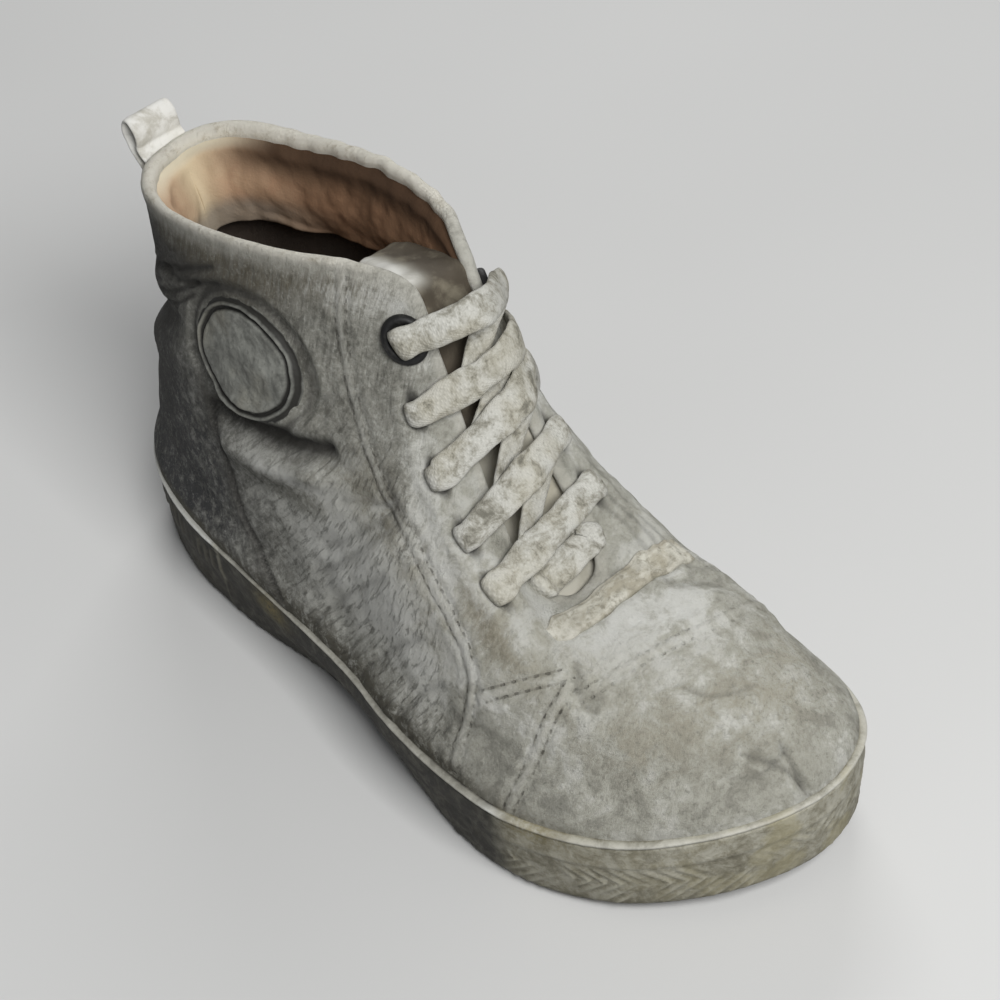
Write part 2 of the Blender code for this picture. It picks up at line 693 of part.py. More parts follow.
def make_lace(shoe, cutters, cotton):
    """The flat lace: crossings over the throat, joined by the runs that slant under them."""
    slope = Vector((0, -0.45, -0.9))
    solids = []
    routes = [bar_route(number) for number in range(len(BARS))]
    for centres, sides in routes:
        mesh_data = bmesh.new()
        ribbon(mesh_data, centres, sides, LACE_WIDTH, LACE_THICK)
        solids.append(mesh_data)
    for (upper_bar, _), (lower_bar, _) in zip(routes, routes[1:]):
        start, end = upper_bar[6], lower_bar[2]
        run = []
        for i in range(6):
            t = i / 5
            point = start.lerp(end, t)
            point += Vector((0, 0.5, -0.9)) * 2.2 * math.sin(math.pi * t)
            run.append(point)
        mesh_data = bmesh.new()
        ribbon(mesh_data, run, [slope] * len(run), LACE_WIDTH * 0.8, LACE_THICK * 0.9)
        solids.append(mesh_data)
    lace = mesh_object("lace", solids[0], shoe, cotton)
    for number, mesh_data in enumerate(solids[1:], 1):
        cut(lace, cutter_object("lace_run_%d" % number, mesh_data, cutters), "UNION")
    return lace


def main():
    start_empty()
    shoe = new_collection("sneaker")
    cutters = new_collection("cutters")
    leather = material("worn_leather", (0.55, 0.55, 0.51), 0.75)
    lining = material("lining", (0.62, 0.45, 0.32), 0.9)
    rubber = material("rubber", (0.42, 0.40, 0.31), 0.7)
    cotton = material("lace_cotton", (0.50, 0.49, 0.45), 0.9)
    metal = material("eyelet_metal", (0.05, 0.05, 0.05), 0.45, 0.8)
    make_outsole(shoe, cutters, rubber)
    make_foxing(shoe, rubber)
    make_insole(shoe, lining)
    make_upper(shoe, cutters, leather)
    make_tongue(shoe, leather)
    patch("heel_counter", counter_turns(), counter_shares, GAP + 0.45, 0.9, shoe, leather)
    make_throat_band(shoe, leather)
    make_badge(shoe, leather)
    make_pull_loop(shoe, leather)
    top = row(LACE_HOLE, LACE_HOLES[0])
    for side in ("outer", "inner"):
        turn, share = top[side + "_turn"] / len(STATIONS), 1.0 - top[side + "_inset"]
        make_eyelet("eyelet_" + side, turn, share, shoe, metal)
    make_lace(shoe, cutters, cotton)


main()
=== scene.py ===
# Worn ankle-high laced sneaker for the right foot, standing empty on its sole.
# Toe towards -Y, inner side of the foot +X. Shoe sizes are in millimetres, the scene in metres.
import math

import bmesh
import bpy
import numpy as np
from mathutils import Matrix, Vector, noise
from mathutils.bvhtree import BVHTree


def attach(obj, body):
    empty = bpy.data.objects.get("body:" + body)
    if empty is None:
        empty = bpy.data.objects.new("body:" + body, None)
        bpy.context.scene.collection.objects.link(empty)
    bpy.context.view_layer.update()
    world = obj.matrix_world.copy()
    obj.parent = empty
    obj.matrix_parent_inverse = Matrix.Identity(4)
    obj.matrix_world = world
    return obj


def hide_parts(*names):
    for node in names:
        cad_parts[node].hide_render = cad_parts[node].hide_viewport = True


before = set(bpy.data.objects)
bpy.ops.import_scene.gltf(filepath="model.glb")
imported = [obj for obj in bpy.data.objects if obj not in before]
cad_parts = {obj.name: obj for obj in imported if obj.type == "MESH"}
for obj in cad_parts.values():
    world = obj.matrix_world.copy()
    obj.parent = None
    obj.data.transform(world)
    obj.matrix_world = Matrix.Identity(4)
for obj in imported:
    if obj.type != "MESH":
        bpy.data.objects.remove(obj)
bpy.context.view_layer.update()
mm = 0.001

view = {
    "place": (-0.33855, -0.44199, 0.58666),
    "right": (0.7026, -0.7099, -0.048),
    "down": (-0.5065, -0.4517, -0.7345),
    "forward": (0.4997, 0.5403, -0.677),
    "lens": 82.8,
    "closer": 1.22,
    "shift": (-0.138, -0.048),
}


def makeCamera():
    data = bpy.data.cameras.new("camera")
    data.sensor_width = 36.0
    data.lens = view["lens"] * view["closer"]
    data.shift_x, data.shift_y = view["shift"]
    camera = bpy.data.objects.new("camera", data)
    bpy.context.scene.collection.objects.link(camera)
    axes = (Vector(view["right"]), -Vector(view["down"]), -Vector(view["forward"]))
    turned = Matrix([axis.normalized() for axis in axes]).transposed()
    camera.matrix_world = Matrix.Translation(view["place"]) @ turned.to_4x4()
    bpy.context.scene.camera = camera


makeCamera()
print("camera set")

# The last and the sole, as the frame has them
form = {
    "length": 252.8,
    "middleX": -4.44,
    "middleL": 124.58,
    "wall": 2.2,
    "soleTop": 10.5,
    "foxingTop": 26.5,
    "heelFoxing": 2.0,
    "foxingThick": 3.6,
    "toeSpring": 8.5,
    "springFrom": 172.0,
    "heelLift": 2.5,
    "archRise": 2.2,
    "archFrom": 86.0,
    "archTo": 136.0,
    "swell": 0.95,
    "swellFrom": 0.2,
    "roll": 3.1,
    "toeRoll": 0.3,
}
stopNames = ("edgeX", "edgeL", "topX", "topL", "topZ", "rise", "bulge", "drop", "reach", "tuck")
# Stops round the foot: heel back, outer side, toe at 13, and back along the inner side
stops = np.array((
    (0.0, 0.0, 3.0, 4.0, 118.0, 40.0, 4.5, 36.0, -9.0, 1.5),
    (-19.0, 5.5, -9.0, 9.5, 119.5, 40.0, 4.0, 36.0, -7.0, 1.5),
    (-31.0, 20.0, -17.5, 23.0, 122.0, 40.0, 3.0, 38.0, -1.0, 1.5),
    (-38.0, 42.0, -21.5, 43.0, 127.0, 40.0, 2.0, 42.0, 6.0, 1.5),
    (-41.0, 70.0, -22.0, 65.0, 132.5, 38.0, 1.5, 44.0, 10.0, 3.0),
    (-43.0, 97.0, -19.5, 87.0, 137.5, 36.0, 1.5, 44.0, 12.0, 6.5),
    (-46.0, 122.0, -13.0, 107.0, 140.5, 34.0, 2.0, 40.0, 14.0, 7.5),
    (-51.5, 148.0, -5.5, 121.0, 135.0, 32.0, 2.5, 30.0, 18.0, 5.0),
    (-53.5, 172.0, -6.0, 129.5, 116.5, 29.0, 2.5, 24.0, 21.0, 2.0),
    (-52.0, 196.0, -8.5, 141.0, 97.0, 28.0, 2.5, 14.0, 24.0, 1.5),
    (-43.5, 218.5, -11.5, 154.0, 80.0, 28.0, 3.0, 8.0, 26.0, 1.5),
    (-30.0, 235.0, -12.5, 166.5, 66.0, 31.0, 5.0, 2.0, 28.0, 1.5),
    (-13.0, 247.0, -7.5, 173.0, 61.5, 33.0, 6.0, -2.0, 33.0, 1.5),
    (5.0, 252.8, -1.5, 174.5, 62.5, 34.0, 7.0, -3.0, 35.0, 1.5),
    (22.5, 249.5, 4.0, 173.0, 65.0, 33.0, 6.5, -1.0, 32.0, 1.5),
    (34.5, 239.0, 8.5, 165.5, 69.5, 31.0, 5.0, 4.0, 25.0, 1.5),
    (41.5, 220.5, 10.0, 154.0, 82.0, 28.0, 2.0, 12.0, 17.0, 1.5),
    (44.5, 196.5, 12.0, 141.0, 98.0, 28.0, 1.0, 20.0, 11.0, 1.5),
    (43.5, 171.0, 14.5, 128.0, 115.0, 29.0, 0.5, 28.0, 9.0, 3.0),
    (38.0, 145.0, 18.5, 117.0, 129.5, 32.0, 0.5, 34.0, 8.0, 6.0),
    (33.0, 118.0, 23.5, 104.0, 137.5, 34.0, 2.0, 40.0, 7.0, 7.5),
    (30.5, 92.0, 27.0, 84.0, 136.5, 36.0, 4.0, 44.0, 4.0, 6.5),
    (32.0, 66.0, 28.5, 62.0, 132.0, 38.0, 4.5, 44.0, 2.0, 3.0),
    (35.0, 41.0, 27.5, 41.0, 127.0, 40.0, 4.0, 42.0, 0.0, 1.5),
    (31.0, 18.0, 23.0, 21.0, 124.0, 40.0, 4.0, 38.0, -3.0, 1.5),
    (18.0, 4.0, 14.5, 8.5, 121.0, 40.0, 4.5, 36.0, -7.0, 1.5),
))
toeStop = 13.0
upward = np.array((0.0, 0.0, 1.0))


def ease(x):
    x = np.clip(x, 0.0, 1.0)
    return x * x * (3 - 2 * x)


def between(value, low, high, soft):
    # 1 from low to high, with soft ends inside them
    return ease((value - low) / soft) * ease((high - value) / soft)


def unit(vectors):
    return vectors / np.maximum(np.linalg.norm(vectors, axis=-1, keepdims=True), 1e-9)


def curved(before, start, end, after, t):
    # a smooth curve through four values in a row, with t from the second to the third
    return (
        (-t + 2 * t**2 - t**3) * before
        + (2 - 5 * t**2 + 3 * t**3) * start
        + (t + 4 * t**2 - 3 * t**3) * end
        + (-(t**2) + t**3) * after
    ) / 2


def runAlong(points):
    # how far along a line of points each of them lies
    return np.concatenate([[0], np.cumsum(np.linalg.norm(np.diff(points, axis=0), axis=1))])


def bell(distance, width):
    return np.exp(-((distance / width) ** 2))


def stopGap(stop, middle):
    # stops from a middle, the shorter way round
    return (stop - middle + len(stops) / 2) % len(stops) - len(stops) / 2


def spot(stop, share, middle, height, wide, tall):
    # 1 at one place, fading out round it
    return bell(stopGap(stop, middle), wide) * bell(share - height, tall)


def stopValues(stop):
    stop = np.asarray(stop, float)
    first = np.floor(stop).astype(int)
    t = (stop - first)[..., None]
    values = curved(*(stops[(first + step) % len(stops)] for step in (-1, 0, 1, 2)), t)
    return {name: values[..., column] for column, name in enumerate(stopNames)}


def soleLift(along):
    toe = (
        form["toeSpring"]
        * np.maximum(0, (along - form["springFrom"]) / (form["length"] - form["springFrom"])) ** 2
    )
    return toe + form["heelLift"] * np.maximum(0, (16 - along) / 16) ** 2


def archLift(along):
    return form["archRise"] * between(along, form["archFrom"], form["archTo"], 18)


def foxingTop(along):
    return form["foxingTop"] + form["heelFoxing"] * ease((95 - along) / 60) + soleLift(along)


def pointAt(x, along, z):
    return np.stack(np.broadcast_arrays(x - form["middleX"], form["middleL"] - along, z), -1).astype(float)


def alongOf(points):
    return form["middleL"] - points[..., 1]


def soleEdge(stop, inset=0.0):
    here, ahead, behind = (stopValues(stop + step) for step in (0.0, 0.05, -0.05))
    forward = unit(np.stack([ahead["edgeX"] - behind["edgeX"], behind["edgeL"] - ahead["edgeL"]], -1))
    outward = np.stack([forward[..., 1], -forward[..., 0], np.zeros_like(forward[..., 0])], -1)
    edge = pointAt(here["edgeX"], here["edgeL"], 0.0)
    return edge - outward * np.broadcast_to(inset, edge.shape[:-1])[..., None], outward, here


def upperPoint(stop, share):
    stop, share = np.broadcast_arrays(np.asarray(stop, float), np.asarray(share, float))
    foot, outward, here = soleEdge(stop, form["foxingThick"] + 0.45)
    along = alongOf(foot)
    foot[..., 2] = form["soleTop"] + 0.6 + soleLift(along)
    top = pointAt(here["topX"], here["topL"], here["topZ"])
    low = foot + outward * here["bulge"][..., None] + upward * here["rise"][..., None]
    high = top + outward * here["reach"][..., None] - upward * here["drop"][..., None]
    s = share[..., None]
    point = (1 - s) ** 3 * foot + 3 * (1 - s) ** 2 * s * low + 3 * (1 - s) * s**2 * high + s**3 * top
    free = form["swell"] * np.maximum(0, point[..., 2] - foxingTop(along) - form["swellFrom"])
    excess = ((point - foot) * outward).sum(-1) - free
    above = point[..., 2] - foxingTop(along)
    roll = (
        (form["roll"] + form["toeRoll"] * ease((along - 175) / 50))
        * ease((above + 3.4) / 2.2)
        * (1 - ease((above - 2.0) / 13.0))
    )
    return point - outward * (np.maximum(excess, 0) - roll)[..., None]


def upperFrame(stop, share):
    # directions round the shoe, up the wall and out of it
    around = unit(upperPoint(stop + 0.04, share) - upperPoint(stop - 0.04, share))
    low, high = np.maximum(share - 0.004, 0), np.minimum(share + 0.004, 1)
    rising = unit(upperPoint(stop, high) - upperPoint(stop, low))
    return around, rising, unit(np.cross(around, rising))


def axesAt(stop, share):
    # the same at one place: its middle, along the wall and out of it
    along, _, out = upperFrame(np.array([float(stop)]), np.array([float(share)]))
    return upperPoint(float(stop), float(share)), along[0], out[0]


def rounded(edge):
    # how full a rounded edge is: edge is 0 where it starts and 1 where it ends
    return np.sqrt(1 - np.clip(edge, 0, 1) ** 2)


def folded(v, across=0.5):
    # a closed shell's second share goes over its front and back again: the share across, and which is front
    front = v < 0.5
    return np.where(front, v / across, (1 - v) / across), front


# Shader maths: a wrapped socket that adds Math nodes as it is used in a sum
class Wire:
    def __init__(self, paint, socket):
        self.paint, self.socket = paint, socket

    def __add__(self, other):
        return self.paint.math("ADD", self, other)

    __radd__ = __add__

    def __sub__(self, other):
        return self.paint.math("SUBTRACT", self, other)

    def __rsub__(self, other):
        return self.paint.math("SUBTRACT", other, self)

    def __mul__(self, other):
        return self.paint.math("MULTIPLY", self, other)

    __rmul__ = __mul__

    def __truediv__(self, other):
        return self.paint.math("DIVIDE", self, other)

    def within(self, low, high):  # 0 at low, 1 at high, eased between
        node = self.paint.node(
            "ShaderNodeMapRange",
            {"interpolation_type": "SMOOTHSTEP"},
            {"Value": self, "From Min": low, "From Max": high},
        )
        return Wire(self.paint, node.outputs["Result"])


class Paint:
    def __init__(self, name):
        self.material = bpy.data.materials.new(name)
        self.material.use_nodes = True
        self.tree = self.material.node_tree
        self.tree.nodes.clear()
        self.column = 0

    def node(self, kind, settings=None, sockets=None):
        node = self.tree.nodes.new(kind)
        node.location = (self.column * 180, 0)
        self.column += 1
        for key, value in (settings or {}).items():
            setattr(node, key, value)
        for key, value in (sockets or {}).items():
            socket = node.inputs[key]
            if isinstance(value, Wire):
                value = value.socket
            if isinstance(value, bpy.types.NodeSocket):
                self.tree.links.new(value, socket)
            elif isinstance(value, tuple) and socket.type == "RGBA":
                socket.default_value = (*value, 1.0)
            else:
                socket.default_value = value
        return node

    def math(self, operation, *values):
        node = self.node("ShaderNodeMath", {"operation": operation}, dict(enumerate(values)))
        return Wire(self, node.outputs[0])

    def clamp(self, value):
        node = self.node("ShaderNodeClamp", None, {"Value": value})
        return Wire(self, node.outputs[0])

    def surface(self):  # the piece's own flat map
        return self.node("ShaderNodeUVMap", {"uv_map": "surface"}).outputs["UV"]

    def mark(self, name):  # a value kept at each point of the mesh
        node = self.node("ShaderNodeAttribute", {"attribute_name": name})
        return Wire(self, node.outputs["Fac"])

    def marks(self, *names):
        return [self.mark(name) for name in names]

    def noise(self, size, detail=3.0, rough=0.55, twist=0.0):  # size is that of one blotch, in millimetres
        where = self.node("ShaderNodeTexCoord").outputs["Object"]
        sockets = {
            "Vector": where,
            "Scale": 1 / (size * mm),
            "Detail": detail,
            "Roughness": rough,
            "Distortion": twist,
        }
        return Wire(self, self.node("ShaderNodeTexNoise", None, sockets).outputs["Fac"])

    def strokes(self, turn, long, wide, detail=3.0, rough=0.6):
        # streaks on the piece's flat map, their sizes in millimetres
        sockets = {
            "Vector": self.surface(),
            "Rotation": (0.0, 0.0, turn),
            "Scale": (long * mm, wide * mm, 1.0),
        }
        where = self.node("ShaderNodeMapping", {"vector_type": "TEXTURE"}, sockets).outputs["Vector"]
        sockets = {"Vector": where, "Scale": 1.0, "Detail": detail, "Roughness": rough}
        return Wire(self, self.node("ShaderNodeTexNoise", None, sockets).outputs["Fac"])

    def mix(self, share, first, second):  # the share is kept between 0 and 1 by the node
        node = self.node("ShaderNodeMix", {"data_type": "RGBA"}, {"Factor": share})
        for name, value in (("A", first), ("B", second)):
            socket = [s for s in node.inputs if s.name == name and s.type == "RGBA"][0]
            if isinstance(value, tuple):
                socket.default_value = (*value, 1.0)
            else:
                self.tree.links.new(value, socket)
        return [s for s in node.outputs if s.type == "RGBA"][0]

    def coats(self, colour, *coats):  # each coat is how much it covers, then its colour
        for share, shade in coats:
            colour = self.mix(share, colour, shade)
        return colour

    def bump(self, height, depth, normal=None):  # depth in millimetres
        sockets = {"Height": height, "Strength": 1.0, "Distance": depth * mm}
        if normal:
            sockets["Normal"] = normal
        return self.node("ShaderNodeBump", None, sockets).outputs["Normal"]

    def finish(self, colour, rough, normal=None, **fixed):
        sockets = {"Base Color": colour, "Roughness": rough}
        if normal:
            sockets["Normal"] = normal
        sockets.update({key.replace("_", " "): value for key, value in fixed.items()})
        shader = self.node("ShaderNodeBsdfPrincipled", None, sockets)
        self.node("ShaderNodeOutputMaterial", None, {"Surface": shader.outputs["BSDF"]})
        return self.material


# Making pieces: a grid is laid out by a function of its two shares, then joined where its ends meet
def makeSheet(columns, rows, lay, bm=None):
    bm = bm or bmesh.new()
    surface = bm.loops.layers.uv.get("surface") or bm.loops.layers.uv.new("surface")
    made = bmesh.ops.create_grid(bm, x_segments=columns, y_segments=rows, size=0.5)["verts"]
    flat = np.array([vert.co[:2] for vert in made]) + 0.5
    laid = lay(flat[:, 0], flat[:, 1])
    points, marks = laid if isinstance(laid, tuple) else (laid, {})
    size = marks.pop("size", (1.0, 1.0))  # what the flat map's two sides measure, in metres
    for vert, point in zip(made, flat):
        vert.co = (point[0], point[1], 0.0)
    for face in {face for vert in made for face in vert.link_faces}:
        for loop in face.loops:
            loop[surface].uv = (loop.vert.co.x * size[0], loop.vert.co.y * size[1])
    bm.verts.index_update()
    numbers = [vert.index for vert in made]
    layers = {key: bm.verts.layers.float.get(key) or bm.verts.layers.float.new(key) for key in marks}
    bm.verts.ensure_lookup_table()
    made = [bm.verts[number] for number in numbers]
    for key, values in marks.items():
        for vert, value in zip(made, values):
            vert[layers[key]] = value
    for vert, point in zip(made, points * mm):
        vert.co = point
    border = [vert for vert in made if vert.is_boundary]
    bmesh.ops.remove_doubles(bm, verts=border, dist=3e-5)
    return bm


def closeHoles(bm):
    bmesh.ops.holes_fill(bm, edges=[edge for edge in bm.edges if edge.is_boundary], sides=0)


def putPiece(name, bm, material, nodes=()):
    bmesh.ops.recalc_face_normals(bm, faces=bm.faces)
    mesh = bpy.data.meshes.new(name)
    bm.to_mesh(mesh)
    bm.free()
    mesh.materials.append(material)
    mesh.shade_smooth()
    piece = bpy.data.objects.new(name, mesh)
    bpy.context.scene.collection.objects.link(piece)
    if nodes:
        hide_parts(*nodes)
    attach(piece, "root")
    print("made", name, len(mesh.polygons))
    return piece


def spline(control, place):
    # smooth values along the first axis of a table of points, place from 0 to 1
    last = len(control) - 1
    at = np.clip(place, 0, 1) * last
    first = np.minimum(at.astype(int), last - 1)
    t = (at - first).reshape(-1, *([1] * (control.ndim - 1)))
    return curved(*(control[np.clip(first + step, 0, last)] for step in (-1, 0, 1, 2)), t)


def layPiece(name, sizes, lay, material, slot, *nodes):
    return putPiece(name, makeSheet(sizes["columns"], sizes["rows"], lay), material, nodes)


def smoothPath(points, count):
    dense = spline(np.asarray(points, float), np.linspace(0, 1, count * 6))
    run = runAlong(dense)
    even = np.linspace(0, run[-1], count)
    return np.stack([np.interp(even, run, dense[:, axis]) for axis in range(dense.shape[1])], -1)


def lumps(points, size, seed=0.0, detail=2):
    # soft noise about zero at points in millimetres
    return np.array(
        [
            noise.fractal(Vector(point) / size + Vector((seed, seed, seed)), 1.0, 2.0, detail)
            for point in points
        ]
    )


# The worn leather: creases and seams as lines of (stop, share), depth and width in millimetres
leather = {
    "flat": (0.6, 0.145),  # what the sides of the piece's flat map measure, in metres
    "columns": 640,
    "rows": 148,
    "outerRows": 126,
    "rimRows": 8,
    "lowShare": 0.06,
    "rim": 1.25,
    "rimCollar": 1.9,
    "rimHeel": 2.7,
    "lump": 0.9,
    "wrinkle": 0.36,
    "wrinkles": ((3.1, 13.0, 4.2, 0.9), (1.7, 5.5, 9.4, 0.45)),  # width, length, seed, share
    "hole": 3.9,
    "slot": (5.2, 1.9),
    "holeDepth": 1.7,
    "reach": 16.0,
    "far": 36.0,
    "slant": 0.78,
    "broad": 30.0,
    "smudge": 9.0,
    "grain": 3.6,
    "dust": 1.4,
    "doubleSeam": 1.6,
    "stitch": 3.1,
}
# Seams that the inner side repeats
heelLap = (
    (3.44, 0.655), (3.64, 0.565), (3.84, 0.495), (4.0, 0.375), (4.16, 0.285), (4.44, 0.215), (4.8, 0.155),
    (5.04, 0.115),
)
ankleSeam = (
    (5.84, 0.985), (5.96, 0.86), (6.16, 0.77), (6.44, 0.68), (6.72, 0.625), (7.08, 0.58), (7.76, 0.58),
    (8.36, 0.56), (8.64, 0.535), (8.88, 0.47), (8.68, 0.385), (8.28, 0.25), (8.08, 0.12),
)
vampSeam = ((10.92, 0.65), (10.16, 0.495), (9.56, 0.345), (9.08, 0.205), (8.92, 0.125))


def mirrored(line):
    # an outer line on the inner side
    return tuple((len(stops) - stop, share) for stop, share in line)


creases = (
    # kind, depth, width, darkness, line; for folds and laps the darkness is painted shade along them, for
    # seams how dark the stitch rows are
    ("fold", 4.2, 3.2, 0.9, (
        (3.6, 0.60), (3.88, 0.575), (4.32, 0.575), (4.96, 0.59), (5.6, 0.60), (6.0, 0.625),
    )),
    ("ridge", 2.4, 4.4, 0.0, ((3.8, 0.50), (4.24, 0.495), (4.8, 0.51), (5.28, 0.535), (5.8, 0.575))),
    ("fold", 2.6, 4.6, 0.2, (
        (24.8, 0.56), (25.8, 0.58), (26.8, 0.61), (27.8, 0.655), (28.6, 0.71), (29.0, 0.77),
    )),
    ("fold", 0.9, 1.1, 0.6, ((1.8, 0.80), (2.8, 0.865), (3.84, 0.935))),
    ("fold", 1.0, 1.1, 0.7, ((2.2, 0.75), (2.8, 0.80), (3.48, 0.88))),
    ("fold", 0.9, 1.0, 0.7, ((2.2, 0.72), (2.8, 0.765), (3.4, 0.845))),
    ("fold", 0.7, 1.3, 0.3, ((15.9, 0.93), (15.3, 0.86), (14.5, 0.84), (13.9, 0.86))),
    ("fold", 0.7, 1.3, 0.3, ((16.2, 0.84), (15.4, 0.79), (14.6, 0.78))),
    ("fold", 0.6, 1.2, 0.3, ((15.9, 0.74), (15.2, 0.71), (14.4, 0.73))),
    ("fold", 0.8, 1.0, 0.6, ((2.1, 0.84), (2.9, 0.845), (3.9, 0.895))),
    ("fold", 0.8, 2.2, 0.35, ((5.48, 0.375), (6.36, 0.475), (7.4, 0.59))),
    ("fold", 0.8, 2.0, 0.35, ((5.28, 0.29), (6.28, 0.43), (7.32, 0.565))),
    ("fold", 0.7, 2.0, 0.3, ((5.92, 0.515), (6.64, 0.55), (7.24, 0.58))),
    ("fold", 0.9, 1.2, 0.45, ((12.44, 0.38), (12.8, 0.285), (12.84, 0.2), (12.9, 0.15))),
    ("fold", 0.8, 1.1, 0.45, ((13.0, 0.36), (12.88, 0.26), (12.84, 0.2))),
    ("fold", 0.5, 1.0, 0.3, ((12.0, 0.33), (12.5, 0.305), (13.1, 0.33))),
    ("fold", 0.5, 1.1, 0.3, ((12.56, 0.63), (12.76, 0.555), (13.4, 0.5))),
    ("fold", 0.8, 2.2, 0.3, ((14.96, 0.785), (14.2, 0.805), (14.88, 0.6))),
    ("fold", 0.7, 1.8, 0.3, ((11.36, 0.76), (10.92, 0.61), (11.08, 0.56))),
    ("fold", 0.9, 2.2, 0.3, ((13.68, 0.985), (14.4, 0.865), (14.52, 0.775))),
    ("fold", 0.7, 1.8, 0.35, ((5.2, 0.14), (6.0, 0.315), (7.12, 0.46))),
    ("fold", 0.7, 1.8, 0.35, ((5.96, 0.06), (6.68, 0.255), (8.0, 0.44))),
    ("fold", 0.6, 1.8, 0.35, ((6.72, 0.06), (7.44, 0.255), (8.24, 0.37))),
    ("fold", 0.9, 2.6, 0.3, ((16.2, 0.2), (17.3, 0.34), (18.6, 0.42), (19.8, 0.44))),
    ("fold", 0.8, 2.4, 0.3, ((15.4, 0.36), (16.6, 0.5), (17.8, 0.6))),
    ("fold", 1.6, 3.4, 0.4, ((19.2, 0.6), (20.6, 0.57), (22.0, 0.6), (23.0, 0.66))),
    ("fold", 0.8, 1.8, 0.4, ((21.0, 0.74), (22.4, 0.78), (23.8, 0.8))),
    ("lap", 1.1, 0.0, 0.8, heelLap),
    ("lap", -1.1, 0.0, 0.6, ((22.6, 0.655), *mirrored(heelLap[1:]))),
    ("double", 0.4, 0.9, 0.35, ankleSeam),
    ("double", 0.5, 0.9, 0.45, mirrored(ankleSeam)),
    ("double", 0.5, 0.9, 0.4, ((8.92, 0.415), (9.88, 0.54), (10.92, 0.675))),
    ("double", 0.5, 0.9, 0.6, vampSeam),
    ("ridge", 0.5, 1.0, 0.0, ((10.32, 0.45), (11.44, 0.61), (12.6, 0.67), (13.4, 0.64), (14.2, 0.56))),
    ("double", 0.5, 0.9, 0.12, (
        (10.72, 0.585), (11.8, 0.70), (12.64, 0.73), (13.24, 0.715), (13.84, 0.665), (14.64, 0.565),
        (15.2, 0.47),
    )),
    ("double", 0.5, 0.9, 0.4, ((15.1, 0.66), *mirrored(vampSeam[1:]))),
)
patches = {
    # stop, share, how wide in stops, how tall in share, amount
    "dirtAndShade": (
        (3.0, 0.85, 3.4, 0.2, 0.5),
        (5.8, 0.72, 1.2, 0.16, 0.35),
        (7.4, 0.2, 1.6, 0.08, 0.5),
        (9.6, 0.30, 1.0, 0.1, 0.5),
        (10.8, 0.42, 0.9, 0.2, 0.4),
        (12.2, 0.34, 2.0, 0.12, 0.45),
        (13.8, 0.52, 1.0, 0.08, 0.5),
        (14.6, 0.35, 1.2, 0.14, 0.5),
        (20.5, 0.35, 2.4, 0.16, 0.4),
        (0.0, 0.35, 3.4, 0.25, 0.5),
        # this one is painted shade below the fold under the badge; the others are dirt
        (4.9, 0.475, 0.8, 0.03, 1.0),
        (6.9, 0.85, 0.9, 0.2, 0.4),
    ),
    "warm": (
        (11.0, 0.45, 0.7, 0.1, 0.6),
        (12.5, 0.5, 1.2, 0.16, 0.7),
        (14.2, 0.45, 1.2, 0.14, 0.5),
        (9.7, 0.62, 0.7, 0.1, 0.8),
        (7.6, 0.52, 1.0, 0.10, 0.6),
        (6.4, 0.55, 0.9, 0.08, 0.4),
        (11.0, 0.8, 1.4, 0.1, 0.4),
    ),
    "brown": (
        (9.1, 0.13, 0.5, 0.06, 0.9),
        (9.4, 0.61, 0.5, 0.07, 0.6),
        (2.2, 0.945, 1.6, 0.035, 0.8),
        (3.9, 0.925, 1.2, 0.045, 1.0),
        (5.8, 0.95, 1.2, 0.03, 0.5),
        (17.0, 0.12, 0.8, 0.05, 0.5),
    ),
    # painted shade: round the ankle folds, along the fold under the badge and over the heel
    "dark": (
        (3.9, 0.92, 1.3, 0.05, 0.35),
        (1.4, 0.86, 1.3, 0.14, 0.75),
        (3.0, 0.90, 1.0, 0.05, 0.3),
        (5.0, 0.605, 0.6, 0.03, 0.8),
        (4.5, 0.585, 0.75, 0.03, 0.4),
        (7.25, 0.60, 0.25, 0.03, 0.7),
        (1.6, 0.6, 1.4, 0.3, 0.85),
        (3.4, 0.86, 0.9, 0.04, 0.4),
    ),
    # a cool dark grey: painted shade over the heel, on its darker grey leather, and in the fold under the
    # badge
    "coolGreyAndShade": (
        (2.5, 0.3, 1.9, 0.34, 1.0),
        (0.6, 0.5, 2.0, 0.5, 1.0),
        (23.6, 0.3, 1.7, 0.3, 0.7),
        (4.75, 0.60, 0.7, 0.03, 0.9),
    ),
    "pale": (
        (5.0, 0.525, 0.7, 0.025, 1.0),
        (6.1, 0.40, 1.3, 0.12, 1.0),
        (9.4, 0.44, 0.7, 0.12, 0.6),
        (11.4, 0.86, 1.0, 0.1, 0.6),
        (5.6, 0.93, 0.8, 0.03, 0.5),
        (7.6, 0.34, 1.2, 0.12, 0.6),
        (8.4, 0.60, 0.6, 0.14, 0.7),
        (6.9, 0.95, 0.9, 0.04, 0.8),
        (8.1, 0.8, 1.2, 0.12, 0.5),
        (9.6, 0.76, 0.9, 0.1, 0.6),
        (12.6, 0.86, 1.6, 0.06, 0.8),
        (13.7, 0.76, 1.3, 0.11, 0.9),
        (13.6, 0.45, 1.0, 0.10, 0.4),
        (10.2, 0.36, 0.5, 0.12, 0.5),
        (12.6, 0.17, 2.4, 0.045, 0.6),
        (18.0, 0.85, 1.6, 0.12, 0.6),
    ),
}
laceHoles = (
    # outer stop, inner stop, and how far below the edge each lies, as a share of the wall
    # the lace crosses the last row with no holes
    (7.12, 19.00, 0.10, 0.10),
    (7.72, 18.40, 0.17, 0.12),
    (8.52, 17.65, 0.19, 0.12),
    (9.24, 16.80, 0.21, 0.12),
    (9.84, 15.90, 0.24, 0.12),
    (11.10, 14.80, 0.0, 0.0),
)
